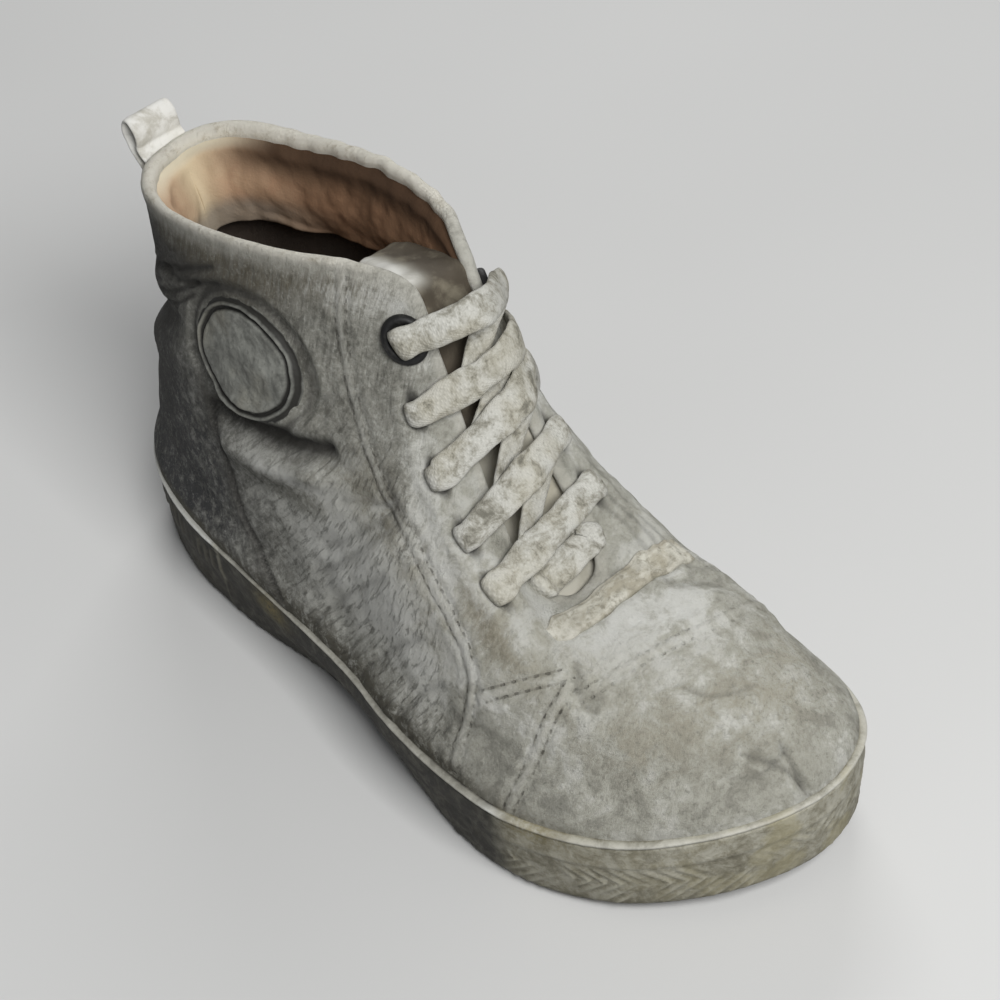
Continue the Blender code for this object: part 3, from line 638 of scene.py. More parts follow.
badge = {
    "flat": (0.11, 0.02),
    "stop": 4.40,
    "share": 0.745,
    "radius": 17.8,
    "oval": 1.26,
    "columns": 180,
    "rows": 90,
    "front": 0.8,
    "rings": (16.7, 14.6),
    "ringDepth": 1.2,
    "ringWidth": 0.6,
    "stand": 1.3,
}


def lineField(base, line):
    # each point's distance from a line on the leather, its side, how far along, and the line's length
    path = smoothPath(line, 26)
    on = upperPoint(path[:, 0], path[:, 1])
    tilt = upperFrame(path[:, 0], path[:, 1])[2]
    reach = leather["reach"]
    distance, side, run = np.full(len(base), reach), np.ones(len(base)), np.zeros(len(base))
    passed = runAlong(on)
    near = np.flatnonzero(((base > on.min(0) - reach) & (base < on.max(0) + reach)).all(1))
    here = base[near]
    for number, (start, end) in enumerate(zip(on, on[1:])):
        step = end - start
        t = np.clip(((here - start) @ step) / (step @ step), 0, 1)
        away = here - start - t[:, None] * step
        far = np.linalg.norm(away, axis=1)
        closer = far < distance[near]
        picked = near[closer]
        distance[picked] = far[closer]
        side[picked] = np.sign(away[closer] @ np.cross(step, tilt[number]) + 1e-9)
        run[picked] = passed[number] + t[closer] * (passed[number + 1] - passed[number])
    return distance, side, run, passed[-1]


def creaseShift(base, marks=None):
    # how far the creases and seams move the leather outwards
    # the marks keep the painted shade that folds and laps leave, and how near a seam or a lap is
    shift, dark = np.zeros(len(base)), np.zeros(len(base))
    stitch, sewn = np.zeros(len(base)), np.zeros(len(base))
    seam, lap = np.full(len(base), leather["far"]), np.full(len(base), leather["far"])  # both squared
    last = leather["reach"] - 0.1
    for kind, depth, width, darkness, line in creases:
        distance, side, run, length = lineField(base, line)
        toEnd = np.minimum(run, length - run)
        fade = ease(toEnd / (0.14 * length) + 0.1) * (distance < last)
        if kind == "fold":
            shift += fade * depth * (0.35 * bell(distance - 2.1 * width, width) - bell(distance, width))
            # painted shade in the fold's hollow
            dark += fade * darkness * bell(distance, 0.55 * width)
        elif kind == "ridge":
            shift += fade * depth * bell(distance, width)
        elif kind == "lap":
            signed = distance * side * np.sign(depth)
            step = ease((signed + 0.6) / 1.2) * np.exp(-np.maximum(signed, 0) / 9)
            shift += abs(depth) * step * ease((last - distance) / 6) * (fade > 0)
            # painted shadow along the lap's edge
            dark += fade * darkness * 0.8 * bell(signed - 0.6, 2.4)
            away = np.where(signed < 4, (signed + 0.5) ** 2, leather["far"])
            lap = np.minimum(lap, away + leather["far"] * (1 - fade))
        else:
            puckers = np.sin(run * 0.95 + 1.5 * np.sin(run * 0.21)) * bell(distance - 3.4, 1.5)
            rolls = (
                0.7 * bell(distance, 1.5)
                + 0.5 * bell(distance - 4.0, 1.6)
                - 0.5 * bell(distance - 2.0, 0.9)
            )
            shift += (distance < last) * depth * (rolls + 0.3 * puckers)
            near = distance**2 < seam
            seam = np.where(near, distance**2, seam)
            stitch = np.where(near, run, stitch)
            sewn = np.where(near, darkness * ease(toEnd / 3.0 + 0.2), sewn)
    if marks is not None:
        marks.update({"dark": dark, "seam": seam, "lap": lap, "stitch": stitch, "sewn": sewn})
    return shift


def patchMark(name, stop, share):
    value = np.zeros(len(stop))
    for middle, height, wide, tall, amount in patches[name]:
        value += amount * spot(stop, share, middle, height, wide, tall)
    return value


def leatherShift(stop, share, base):
    # fine wrinkles, laid out along the leather and strongest on the outer side
    steps = np.linspace(0, len(stops), 521)
    run = np.interp(stop, steps, runAlong(upperPoint(steps, 0.35)))
    rise = share * (105 + 45 * bell(stopGap(stop, toeStop), 4.5))
    slant = leather["slant"] - 0.7 * bell(stopGap(stop, toeStop), 2.0)
    across, alongside = rise * np.cos(slant) - run * np.sin(slant), run * np.cos(slant) + rise * np.sin(slant)
    where = 0.45 + 0.9 * spot(stop, share, 6.6, 0.42, 2.4, 0.24) + 0.6 * spot(stop, share, 20, 0.4, 2.6, 0.24)
    where *= 1 - 0.55 * spot(stop, share, toeStop, 0.3, 2.4, 0.25)
    patchy = np.clip(0.7 + 1.4 * lumps(base, 17.0, 12.3), 0.15, 1.6)
    valleys = 0.5
    for wide, long, seed, amount in leather["wrinkles"]:
        value = np.array([noise.noise(Vector((a / wide, b / long, seed))) for a, b in zip(across, alongside)])
        valleys = valleys + amount * (0.35 - np.sqrt(np.abs(value) + 0.01))
    return leather["wrinkle"] * where * patchy * valleys


def holeShift(base):
    # the leather pulls in round each lace hole: the first pair is round, the others are slots
    shift, hole = np.zeros(len(base)), np.zeros(len(base))
    for number, (outer, inner, outerInset, innerInset) in enumerate(laceHoles[:-1]):
        for stop, inset in ((outer, outerInset), (inner, innerInset)):
            middle, along, out = axesAt(stop, 1 - inset)
            away = base - middle
            length, depth = away @ along, away @ out
            width = np.sqrt(np.maximum((away**2).sum(1) - length**2 - depth**2, 0))
            half = leather["slot"] if number else (leather["hole"], leather["hole"])
            size = np.hypot(length / half[0], width / half[1])
            inside = ease(1.5 - size) * (np.abs(depth) < 5)
            shift -= leather["holeDepth"] * inside
            hole += inside
            shift += (0.5 if number else 0.2) * bell(size - 2.4, 0.9) * (np.abs(depth) < 6)
    return shift, np.clip(hole, 0, 1)


def badgeShift(base):
    # a pressed disc: two rings cut round a bare middle, on a raised pad
    middle, along, out = axesAt(badge["stop"], badge["share"])
    away = base - middle
    depth, sideways = away @ out, away @ along
    upwards = np.maximum((away**2).sum(1) - depth**2 - sideways**2, 0)
    radius = np.sqrt(upwards + (sideways / badge["oval"]) ** 2) + 60 * (depth < -22)
    wobble = radius + 0.25 * lumps(base, 6.0, 1.5, 1)
    shift = -0.9 * bell(radius - badge["radius"] - 2.4, 1.6) + 0.4 * bell(radius - badge["radius"] - 4.4, 1.2)
    # the second value is painted shade in the groove round the badge's edge
    return shift, 0.7 * bell(wobble - badge["radius"] - 1.6, 0.9)


def rimSize(stop):
    gap = stopGap(stop, 0)
    collar = np.where(gap > 0, ease((3.0 - gap) / 2.0), ease((7.6 + gap) / 0.8))
    heel = np.where(gap > 0, ease((2.6 - gap) / 2.2), ease((5.0 + gap) / 3.2))
    radius = leather["rim"] + (leather["rimCollar"] - leather["rim"]) * collar
    return radius + (leather["rimHeel"] - leather["rimCollar"]) * heel


def stopAt(u):
    # more columns on the outer side and the toe than on the inner side
    fine = np.linspace(0, len(stops), 521)
    weight = np.cumsum(0.75 + 0.6 * bell(stopGap(fine, 8.5), 6.5))
    return np.interp(u, (weight - weight[0]) / (weight[-1] - weight[0]), fine)


def leatherLay(u, v):
    rows = leather["rows"]
    outer, rim = leather["outerRows"] / rows, (leather["outerRows"] + leather["rimRows"]) / rows
    last = (rows - 1) / rows
    stop = stopAt(u) % len(stops)
    low = leather["lowShare"]
    up = low + (1 - low) * v / outer
    down = 1 - (1 - low) * np.clip((v - rim) / (last - rim), 0, 1)
    share = np.where(v <= outer, up, np.where(v <= rim, 1.0, down))
    share = np.where(v > last + 1e-6, low, share)
    radius = rimSize(stop)
    angle = math.pi * np.clip((v - outer) / (rim - outer), 0, 1)
    base = upperPoint(stop, share)
    _, rising, out = upperFrame(stop, share)
    inner = form["wall"] + 1.6 + 4.0 * spot(stop, share, 4.8, 0.58, 1.8, 0.12)
    thick = inner + (2 * radius - inner) * ease((share - 0.9) / 0.1)
    back = np.where(v > rim, -thick, -radius + radius * np.cos(angle))
    back = np.where(v > last + 1e-6, 0.0, back)
    edge = v <= rim
    marks = {}
    crease = creaseShift(base, marks)
    hollow, hole = holeShift(base)
    # ring is painted shade round the badge's edge
    pad, ring = badgeShift(base)
    nearFoot = ease((base[:, 2] - foxingTop(alongOf(base)) + 2) / 6)
    uneven = (
        (0.25 + 0.5 * bell(stopGap(stop, 21.5), 3.0))
        * lumps(base, 8.0, 5.0)
        * ease((share - 0.86) / 0.14)
    )
    skin = (
        leatherShift(stop, share, base)
        * (ease((1.02 - share) / 0.03) * edge)
        * np.where(hole > 0.1, 0.2, 1.0)
    )
    soft = (
        leather["lump"]
        * (lumps(base, 26.0, 3.1) + 0.35 * lumps(base, 9.0, 7.7))
        * ease((1.0 - share) / 0.1)
    )
    body = (soft + np.where(edge | (crease < 0), crease, 0.6 * crease)) * nearFoot
    height = back + body + (skin + (hollow + pad) * (v <= outer)) * nearFoot + uneven
    points = base + out * height[:, None] + rising * (radius * np.sin(angle))[:, None]
    for name in ("dirtAndShade", "warm", "brown", "coolGreyAndShade", "pale"):
        marks[name] = np.clip(patchMark(name, stop, share), 0, 1) * edge
    # dark is painted shade: of the folds and laps, of the groove round the badge, and of the dark patches
    marks["dark"] = np.clip(marks["dark"] + ring + patchMark("dark", stop, share), 0, 1) * edge
    # hole: painted shade standing in for the dark openings of the lace holes
    marks["hole"] = hole * edge
    # hollow: painted shade in the valleys of the fine wrinkles
    marks["hollow"] = np.clip(-skin / leather["wrinkle"] * 0.8, 0, 1) * edge
    marks["lit"] = np.clip(skin / leather["wrinkle"] * 1.4 - 0.3, 0, 1) * edge
    marks["edge"] = ease((share - 0.955) / 0.03)
    heelRim = ease((share - np.where(stop < 7, 0.985, 0.955)) / 0.02)
    marks["heelRim"] = heelRim * ease(6.6 - np.abs(stopGap(stop, 0)))
    # inside: the inner wall, darkened to a near-black brown as painted shade deep inside the shoe
    marks["inside"] = ease((0.965 - share) / 0.02) * (v > rim)
    marks["toe"] = ease((5.6 - np.abs(stopGap(stop, toeStop))) / 1.6)
    splashed = 3 + 8 * bell(stopGap(stop, 6.2), 2.4)
    foot = ease(1 - (base[:, 2] - foxingTop(alongOf(base)) - 0.5) / splashed)
    marks["foot"] = foot * edge * (1 - 0.8 * marks["toe"])
    waists = spot(stop, share, 7.2, 0.36, 2.8, 0.3) + 0.7 * spot(stop, share, 20, 0.4, 3.5, 0.3)
    marks["creased"] = np.clip(waists, 0, 1) * edge
    ankles = spot(stop, share, 2.6, 0.85, 1.4, 0.085) + 0.7 * spot(stop, share, 23.0, 0.82, 1.8, 0.09)
    marks["ankle"] = ankles * edge
    marks["upright"] = np.clip(ease((share - 0.62) / 0.2) + bell(stopGap(stop, 0), 2.5), 0, 1)
    marks["size"] = leather["flat"]
    return points, marks


def leatherPaint():
    paint = Paint("worn leather")
    dirtAndShade, warm, brown, coolGreyAndShade, pale, dark = paint.marks("dirtAndShade", "warm", "brown", "coolGreyAndShade", "pale", "dark")
    hole, hollow, lit, edge, rim, inside = paint.marks("hole", "hollow", "lit", "edge", "heelRim", "inside")
    foot, toe, ankle, upright, creased = paint.marks("foot", "toe", "ankle", "upright", "creased")
    seam, lap = (paint.math("SQRT", squared) for squared in paint.marks("seam", "lap"))
    sewn, stitch = paint.marks("sewn", "stitch")
    broad = paint.noise(leather["broad"], 3.0)
    smudge = paint.noise(leather["smudge"], 9.0, 0.66, 0.5)
    grain = paint.noise(leather["grain"], 12.0, 0.80, 0.3)
    dust = paint.noise(leather["dust"], 8.0, 0.8, 0.3)
    slanting = paint.strokes(leather["slant"], 8.0, 1.5, 6.0, 0.68)
    standing = paint.strokes(1.45, 7.0, 1.5, 6.0, 0.70)
    lying = paint.strokes(0.35, 9.0, 1.6, 5.0, 0.66)
    fibre = slanting * (1 - upright) * (1 - ankle) + standing * upright * (1 - ankle) + lying * ankle
    # crinkle: thin streaks of painted shade in the gaps of fine wrinkles
    crinkle = fibre.within(0.53, 0.66) * paint.clamp(0.25 + creased * 0.6 + ankle) * (1 - toe * 0.8)
    mottle = grain * (0.60 - 0.15 * toe) + fibre * (0.30 - 0.25 * toe) + smudge * (0.40 + 0.47 * toe)
    # this darkens the mottle with real dirt, and with painted shade by the fold under the badge
    mottle = mottle + broad * 0.3 + dirtAndShade * 0.14 - pale * 0.12
    offRow = paint.math("ABSOLUTE", seam - leather["doubleSeam"])
    row = (1 - offRow.within(0.1, 0.45)) * sewn.within(0.0, 0.2) * smudge.within(0.36, 0.60)
    offStitch = paint.math("ABSOLUTE", paint.math("FRACT", stitch / leather["stitch"]) - 0.5)
    thread = row * offStitch.within(0.12, 0.26)
    holes = row - thread
    besideRows = (1 - seam.within(0.3, 1.2)) * sewn.within(0.0, 0.2)
    cut = 1 - lap.within(0.1, 1.3)
    ground = paint.mix(broad.within(0.38, 0.62), (0.505, 0.50, 0.448), (0.58, 0.576, 0.525))
    rimColour = paint.mix(grain.within(0.50, 0.70), (0.74, 0.71, 0.62), (0.47, 0.42, 0.32))
    dulled = paint.mix(toe, (0.262, 0.257, 0.220), (0.37, 0.362, 0.305))
    colour = paint.coats(
        ground,
        (mottle.within(0.70, 0.86) * 0.85, dulled),
        (mottle.within(0.84, 1.00) * (0.9 - 0.45 * toe), (0.11, 0.107, 0.088)),
        (mottle.within(0.66, 0.54) * 0.5, (0.60, 0.60, 0.56)),
        (warm * smudge.within(0.38, 0.60) * 0.75, (0.40, 0.37, 0.285)),
        # near-black cool grey: painted shade over the heel and in the fold under the badge
        (coolGreyAndShade * (0.55 + 0.9 * grain.within(0.36, 0.62)), (0.042, 0.043, 0.045)),
        (brown * (0.4 + 0.9 * fibre.within(0.38, 0.6)), (0.17, 0.15, 0.105)),
        (dust.within(0.50, 0.64) * (0.3 + 0.35 * dirtAndShade), (0.12, 0.117, 0.098)),
        ((1 - dust.within(0.36, 0.47)) * (0.35 - 0.2 * toe), (0.62, 0.62, 0.57)),
        # painted shade in the wrinkle valleys
        (hollow * 0.35 * (0.4 + dust), (0.16, 0.155, 0.13)),
        (pale * (1 - mottle.within(0.62, 0.90)) * 0.8, (0.64, 0.64, 0.60)),
        (lit * 0.4 * grain.within(0.35, 0.6), (0.60, 0.60, 0.56)),
        # painted shade in the fine wrinkles
        (crinkle * 0.35, (0.12, 0.117, 0.10)),
        (foot * (0.35 + 1.3 * grain.within(0.40, 0.56)), (0.10, 0.093, 0.07)),
        # painted shade of the folds, laps, badge groove and heel
        (dark * (0.7 + 0.6 * dust), (0.055, 0.052, 0.045)),
        (cut * (0.6 + 0.5 * grain), (0.03, 0.028, 0.025)),
        (row * sewn * 0.8 + holes * sewn * 0.9, (0.12, 0.112, 0.088)),
        (besideRows * grain.within(0.4, 0.6) * 0.5, (0.62, 0.61, 0.55)),
        (edge * (1 - rim) * 0.5 * (1.3 - grain), (0.56, 0.54, 0.47)),
        (rim, rimColour),
        # the inner wall's brown darkened to near-black: painted shade inside the shoe
        (inside, (0.05, 0.036, 0.026)),
        # painted shade for the lace holes
        (hole, (0.03, 0.028, 0.025)),
    )
    relief = paint.bump(thread - row * 0.7 - holes * 0.5 - cut * 1.2, 0.45)
    normal = paint.bump(grain * 1.1 + fibre * 0.6 - crinkle * 0.7 + dust * 0.35, 0.9, relief)
    rough = paint.clamp(0.56 + 0.3 * mottle.within(0.6, 0.95) - pale * 0.1)
    return paint.finish(colour, rough, normal, Specular_IOR_Level=0.42)


upperPiece = layPiece(
    "upper_leather", leather, leatherLay, leatherPaint(), "worn_leather", "upper", "heel_counter"
)
print("leather laid")


# The rubber band round the foot: section points are (share of the way round it, height, inset)
foxing = {
    "flat": (0.66, 0.08),
    "columns": 1300,
    "rows": 60,
    "chevronPitch": 4.4,
    "chevronTip": 10.5,
    "chevronSlant": 1.25,
    "chevronTop": 17.0,
    "ribPitch": 3.7,
    "ribLow": 14.5,
    "ribHigh": 22.5,
    "slantTop": 10.5,
    "bead": 26.4,
    "lineRaise": 0.5,
    "foreFrom": 8.4,
    "foreTo": 17.6,
    "heelReach": 3.7,
}
foxingSection = np.array((
    (0.00, 2.6, 5.2),
    (0.05, 0.9, 3.2),
    (0.08, 0.3, 1.9),
    (0.11, 0.8, 0.7),
    (0.15, 2.4, 0.1),
    (0.58, 21.8, 0.3),
    (0.65, 24.7, 0.35),
    (0.69, 25.3, 0.75),
    (0.72, 25.5, 0.3),
    (0.76, 25.9, 0.0),
    (0.80, 26.5, 0.0),
    (0.84, 27.0, 0.4),
    (0.88, 27.2, 1.6),
    (0.94, 25.0, 4.8),
    (1.00, 2.6, 5.2),
))


def runAround(stop):
    # how far along the sole's edge from the heel back, on either side, and which side
    steps = np.linspace(0, len(stops), 1041)
    run = runAlong(soleEdge(steps)[0])
    here = np.interp(stop, steps, run)
    return np.minimum(here, run[-1] - here), np.where(stop < 13.2, -1.0, 1.0)


def stripes(phase, wide):
    # narrow raised lines where the phase is whole
    return bell(np.abs((phase + 0.5) % 1 - 0.5), wide)


def foxingLay(u, v):
    stop = u * len(stops)
    rows = np.arange(len(foxingSection))
    at = np.interp(v, foxingSection[:, 0], rows)
    height = np.interp(at, rows, foxingSection[:, 1])
    inset = np.interp(at, rows, foxingSection[:, 2])
    values = stopValues(stop)
    run, side = runAround(stop)
    heel = ease((foxing["heelReach"] - np.abs(stopGap(stop, 0))) / 0.25)
    fore = between(stop, foxing["foreFrom"], foxing["foreTo"], 0.3)
    toe = bell(stopGap(stop, toeStop), 2.6)
    waist = (1 - heel) * (1 - fore)
    # the waist sides, made near-black like the heel
    waistDark = (1 - heel) * (1 - between(stop, foxing["foreFrom"] - 0.4, foxing["foreTo"] + 0.4, 1.4))
    face = (v > 0.1) & (v < 0.88)
    beadHere = bell(height - foxing["bead"], 0.75) * face
    tuck = values["tuck"] * np.interp(height, (0, 2, 10.5, 16.5), (1, 0.95, 0.35, 0))
    flat, outward, _ = soleEdge(stop, inset + tuck)
    around = np.stack([run * side, height * 0 + 40, height], -1)
    wear = np.clip(0.75 + 1.5 * lumps(around, 11.0, 2.2), 0.1, 1.15)
    lean = np.abs(height - foxing["chevronTip"]) * foxing["chevronSlant"]
    chevron = stripes((run + lean) / foxing["chevronPitch"], 0.15) * fore * wear * (1 - 0.35 * toe)
    chevron *= ease((foxing["chevronTop"] - height) / 0.8) * ease((height - 0.5) / 1.5)
    ribs = stripes(run / foxing["ribPitch"], 0.19) * between(height, foxing["ribLow"], foxing["ribHigh"], 0.8)
    slanted = stripes((run + 0.6 * height) / foxing["ribPitch"] * 1.5, 0.15)
    slanted *= ease((foxing["slantTop"] - height) / 0.8) * ease((height - 0.6) / 1.2)
    ribs = (ribs + 0.7 * slanted) * heel * wear
    panel = (
        fore * ease((foxing["chevronTop"] + 0.6 - height) / 0.7) * 0.3
        + waist * bell(height - 14.0, 6.0) * 0.6
    )
    panel += heel * ease((foxing["ribHigh"] + 0.9 - height) / 0.7) * 0.5
    rim = bell(height - foxing["chevronTop"] - 1.2, 0.6) * fore * 0.12
    ragged = 0.22 * lumps(around, 3.0, 8.8, 3) * (0.35 + 1.1 * waist * ease((20 - height) / 6))
    out = (chevron + ribs) * foxing["lineRaise"] - panel + rim + ragged + 0.3 * beadHere * (1 - 0.5 * toe)
    out += 0.4 * lumps(around, 30.0, 4.4) * ease(height / 6)
    out *= ease((v - 0.08) / 0.04) * ease((0.93 - v) / 0.04)
    along = alongOf(flat)
    raised = (foxingTop(along) - form["foxingTop"] - soleLift(along)) * ease((height - form["soleTop"]) / 8)
    points = flat + outward * out[:, None]
    points[:, 2] = height + raised + soleLift(along)
    stain = spot(stop, height, 4.5, 21, 0.25, 5) + 0.8 * spot(stop, height, 9.2, 25, 0.35, 4)
    marks = {
        "ridge": np.clip(chevron + ribs, 0, 1),
        "panel": np.clip(panel * 2, 0, 1) * face,
        "bead": beadHere,
        "toe": toe,
        "heel": np.maximum(heel, waistDark),
        "waist": waist,
        "low": ease((9 - height) / 9) * face,
        "stain": stain + 0.5 * bell(stopGap(stop, 16.9), 0.5),
        "size": foxing["flat"],
    }
    return points, marks


def rubberPaint():
    paint = Paint("band rubber")
    ridge, panel, bead, toe = paint.marks("ridge", "panel", "bead", "toe")
    heel, low, stain, waist = paint.marks("heel", "low", "stain", "waist")
    broad = paint.noise(18.0, 5.0, 0.6)
    blotch = paint.noise(6.0, 9.0, 0.72, 0.4)
    speck = paint.noise(1.6, 7.0, 0.78)
    heel = (heel + (broad - 0.5) * 0.9).within(0.3, 0.75)
    # the mottle is a little darker in the recessed panels, painted shade, and towards the bottom of the band,
    # and a little lighter on the raised lines
    mottle = blotch * 0.7 + speck * 0.3 + panel * 0.05 + low * 0.04 - ridge * 0.05
    worn = paint.mix(heel, (0.46, 0.44, 0.35), (0.12, 0.113, 0.09))
    colour = paint.coats(
        (0.42, 0.405, 0.335),
        (mottle.within(0.40, 0.60), (0.22, 0.205, 0.15)),
        (mottle.within(0.54, 0.68) * 0.85, (0.12, 0.11, 0.075)),
        (broad.within(0.46, 0.58) * 0.55 * toe, (0.36, 0.325, 0.20)),
        # near-black on the heel and along the waist sides
        (heel * (0.76 + 0.34 * blotch.within(0.32, 0.68)) * (1 - bead), (0.028, 0.026, 0.020)),
        (ridge * (0.6 + 0.3 * heel) * blotch.within(0.32, 0.50), worn),
        (bead * (0.35 + 0.65 * heel) * (1 - 0.7 * waist) * blotch.within(0.22, 0.36), (0.70, 0.70, 0.66)),
        (stain * speck.within(0.3, 0.6), (0.24, 0.20, 0.09)),
    )
    normal = paint.bump(blotch * 0.7 + speck * 0.6, 0.45)
    return paint.finish(colour, paint.clamp(0.62 + 0.2 * mottle - bead * 0.1), normal)


layPiece("foxing_band", foxing, foxingLay, rubberPaint(), "foxing_rubber", "foxing")


# The tread: raised lines and bars across the sole, and rings under the ball of the foot
tread = {
    "flat": (0.25, 0.11),
    "columns": 440,
    "acrossRows": 176,
    "backRows": 12,
    "turn": 13.06,
    "inset": 2.4,
    "field": 0.9,
    "ballX": 4.0,
    "ballL": 182.0,
    "clear": 41.0,
}
treadBars = ((31.0, 5.0, -60, 60), (73.0, 6.0, -60, 60), (143.0, 6.0, -14, 60), (214.0, 6.5, -60, 4))
treadLines = (
    # first, last, step, from x, to x
    (6.0, 26.0, 5.0, -60, 60),
    (81.0, 136.0, 7.8, -60, 60),
    (151.0, 208.0, 7.8, -60, 60),
    (223.0, 246.0, 7.4, -60, 18),
)
treadRings = (
    # radius, half width, share of the full height
    (8.5, 0.5, 0.8),
    (12.0, 0.5, 0.6),
    (17.5, 2.4, 1.0),
    (24.5, 0.5, 0.8),
    (31.0, 2.2, 0.9),
    (38.5, 0.55, 0.8),
)


def bar(away, half, soft=0.35):
    return ease((half + soft - np.abs(away)) / (2 * soft))


def treadHeight(x, along, margin):
    raised = np.zeros(len(x))
    radius = np.hypot(x - tread["ballX"], (along - tread["ballL"]) * 0.92)
    outside = ease((radius - tread["clear"]) / 0.8)
    for middle, wide, low, high in treadBars:
        raised = np.maximum(raised, bar(along - middle, wide / 2, 0.8) * between(x, low, high, 1.5) * outside)
    for first, last, step, low, high in treadLines:
        for middle in np.arange(first, last + 0.1, step):
            raised = np.maximum(raised, 0.75 * bar(along - middle, 0.5) * (x > low) * (x < high) * outside)
    for size, half, share in treadRings:
        turn = np.arctan2(along - tread["ballL"], x - tread["ballX"])
        swept = np.where(half > 1, ease(1.2 + np.sin(turn * 2 + size)), 1.0)
        raised = np.maximum(raised, share * bar(radius - size, half, 0.4) * swept)
    raised = np.maximum(raised, ease((4.2 - radius) / 1.5))
    raised = np.maximum(raised * ease((margin - 4.0) / 1.2), 0.9 * ease((4.5 - margin) / 1.2))
    return raised


def treadLay(u, v):
    under = tread["acrossRows"] / (tread["acrossRows"] + tread["backRows"])
    steps = np.linspace(0, tread["turn"], 400)
    backSteps = np.linspace(tread["turn"], len(stops), 400)
    outer, inner = (
        soleEdge(line, tread["inset"] + stopValues(line)["tuck"] * 0.97)[0] for line in (steps, backSteps)
    )
    first, last = alongOf(outer[0]), alongOf(outer[-1])
    along = first + (last - first) * (0.45 * u + 0.55 * (0.5 - 0.5 * np.cos(math.pi * u)))
    left = np.interp(along, alongOf(outer), outer[:, 0])
    right = np.interp(-along, -alongOf(inner), inner[:, 0])
    share = np.where(v <= under, v / under, 1 - (v - under) / (1 - under))
    share = np.clip(share, 0, 1)
    back = v > under + 1e-6
    x = left + (right - left) * share
    margin = np.minimum(np.minimum(x - left, right - x), 400)
    margin = np.minimum(margin, np.minimum(along - first, last - along) * 1.2)
    raised = treadHeight(x + form["middleX"], along, margin)
    rounded = 1.3 * ease((2.5 - margin) / 2.5) ** 2
    ground = soleLift(along) + archLift(along)
    where = np.stack([x, along, x * 0], -1)
    rough = 0.12 * lumps(where, 2.4, 6.6, 3) + 0.2 * lumps(where, 14.0, 1.2)
    z = ground + tread["field"] * (1 - raised) + rounded + rough
    z = np.where(back & (share > 1e-4) & (share < 1 - 1e-4), soleLift(along) + form["soleTop"], z)
    points = np.stack([x, form["middleL"] - along, z], -1)
    marks = {
        "ridge": raised * ~back,
        "margin": ease((7 - margin) / 6) * ~back,
        "worn": bell(np.hypot(x - 6, (along - 185) * 0.7), 34) + bell(np.hypot(x + 12, along - 12), 22),
        "size": tread["flat"],
    }
    return points, marks


def treadPaint():
    paint = Paint("tread rubber")
    ridge, margin, worn = paint.marks("ridge", "margin", "worn")
    broad = paint.noise(26.0, 4.0, 0.6)
    blotch = paint.noise(6.0, 6.0, 0.72, 0.5)
    speck = paint.noise(1.6, 5.0, 0.75)
    colour = paint.coats(
        (0.085, 0.075, 0.052),
        (blotch.within(0.36, 0.64), (0.19, 0.175, 0.13)),
        (broad.within(0.45, 0.6) * 0.4, (0.10, 0.085, 0.05)),
        (worn * 0.3 * speck.within(0.3, 0.6), (0.28, 0.265, 0.21)),
        (margin * 0.6 * blotch.within(0.3, 0.6), (0.34, 0.32, 0.25)),
        (ridge * (0.35 + 0.7 * speck.within(0.3, 0.6)), (0.42, 0.40, 0.32)),
    )
    normal = paint.bump(blotch * 0.4 + speck * 0.5, 0.4)
    return paint.finish(colour, 0.8, normal)


treadSheet = makeSheet(tread["columns"], tread["acrossRows"] + tread["backRows"], treadLay)
closeHoles(treadSheet)
putPiece("outsole_tread", treadSheet, treadPaint(), ("outsole",))
print("sole laid")


# Inside the shoe: the insole and the padded lining of the collar
insole = {
    "flat": (0.6, 0.1),
    "columns": 160,
    "rows": 60,
    "inset": 6.6,
    "thick": 3.6,
    "middle": 1.3,
    "waist": 118.0,
    "heel": 40,
    "ball": 178,
    "print": 34,
    "printDepth": 0.9,
    "cup": 1.4,
}


def insoleLay(u, v):
    stop = u * len(stops)
    edge = soleEdge(stop, insole["inset"])[0]
    middle = pointAt(insole["middle"], insole["waist"], 0.0)
    share, front = folded(v, 0.46)
    share = np.clip(share, 0, 1)
    points = middle + (edge - middle) * np.sqrt(share)[:, None]
    along = alongOf(points)
    printed = bell(along - insole["heel"], insole["print"]) + bell(along - insole["ball"], insole["print"])
    top = form["soleTop"] + 0.5 + insole["thick"] + insole["cup"] * share**6 + 0.4 * lumps(points, 14.0, 9.1)
    top -= insole["printDepth"] * printed * (1 - share) + 1.2 * ease((share - 0.93) / 0.07)
    points[:, 2] = np.where(front, top, form["soleTop"] + 0.4) + soleLift(along)
    return points, {"print": printed * (1 - share), "size": insole["flat"]}


def insolePaint():
    paint = Paint("insole cloth")
    worn = paint.mark("print")
    blotch = paint.noise(12.0, 5.0, 0.65)
    threads = paint.noise(0.9, 3.0, 0.7)
    # the cloth's colours are darkened as painted shade deep inside the shoe
    colour = paint.coats(
        (0.08, 0.055, 0.037),
        (blotch.within(0.35, 0.65), (0.14, 0.10, 0.07)),
        (worn * 0.7, (0.09, 0.07, 0.05)),
        (threads.within(0.45, 0.65) * 0.3, (0.10, 0.075, 0.055)),
    )
    return paint.finish(colour, 0.95, paint.bump(threads * 0.6 + blotch * 0.4, 0.4), Specular_IOR_Level=0.25)


layPiece("insole_pad", insole, insoleLay, insolePaint(), "insole_lining", "insole")

lining = {
    "flat": (0.32, 0.09),
    "columns": 300,
    "rows": 92,
    "from": 18.95,
    "to": 32.9,
    "top": 0.995,
    "depth": 0.20,
    "pad": 3.0,
    "step": 2.2,
}


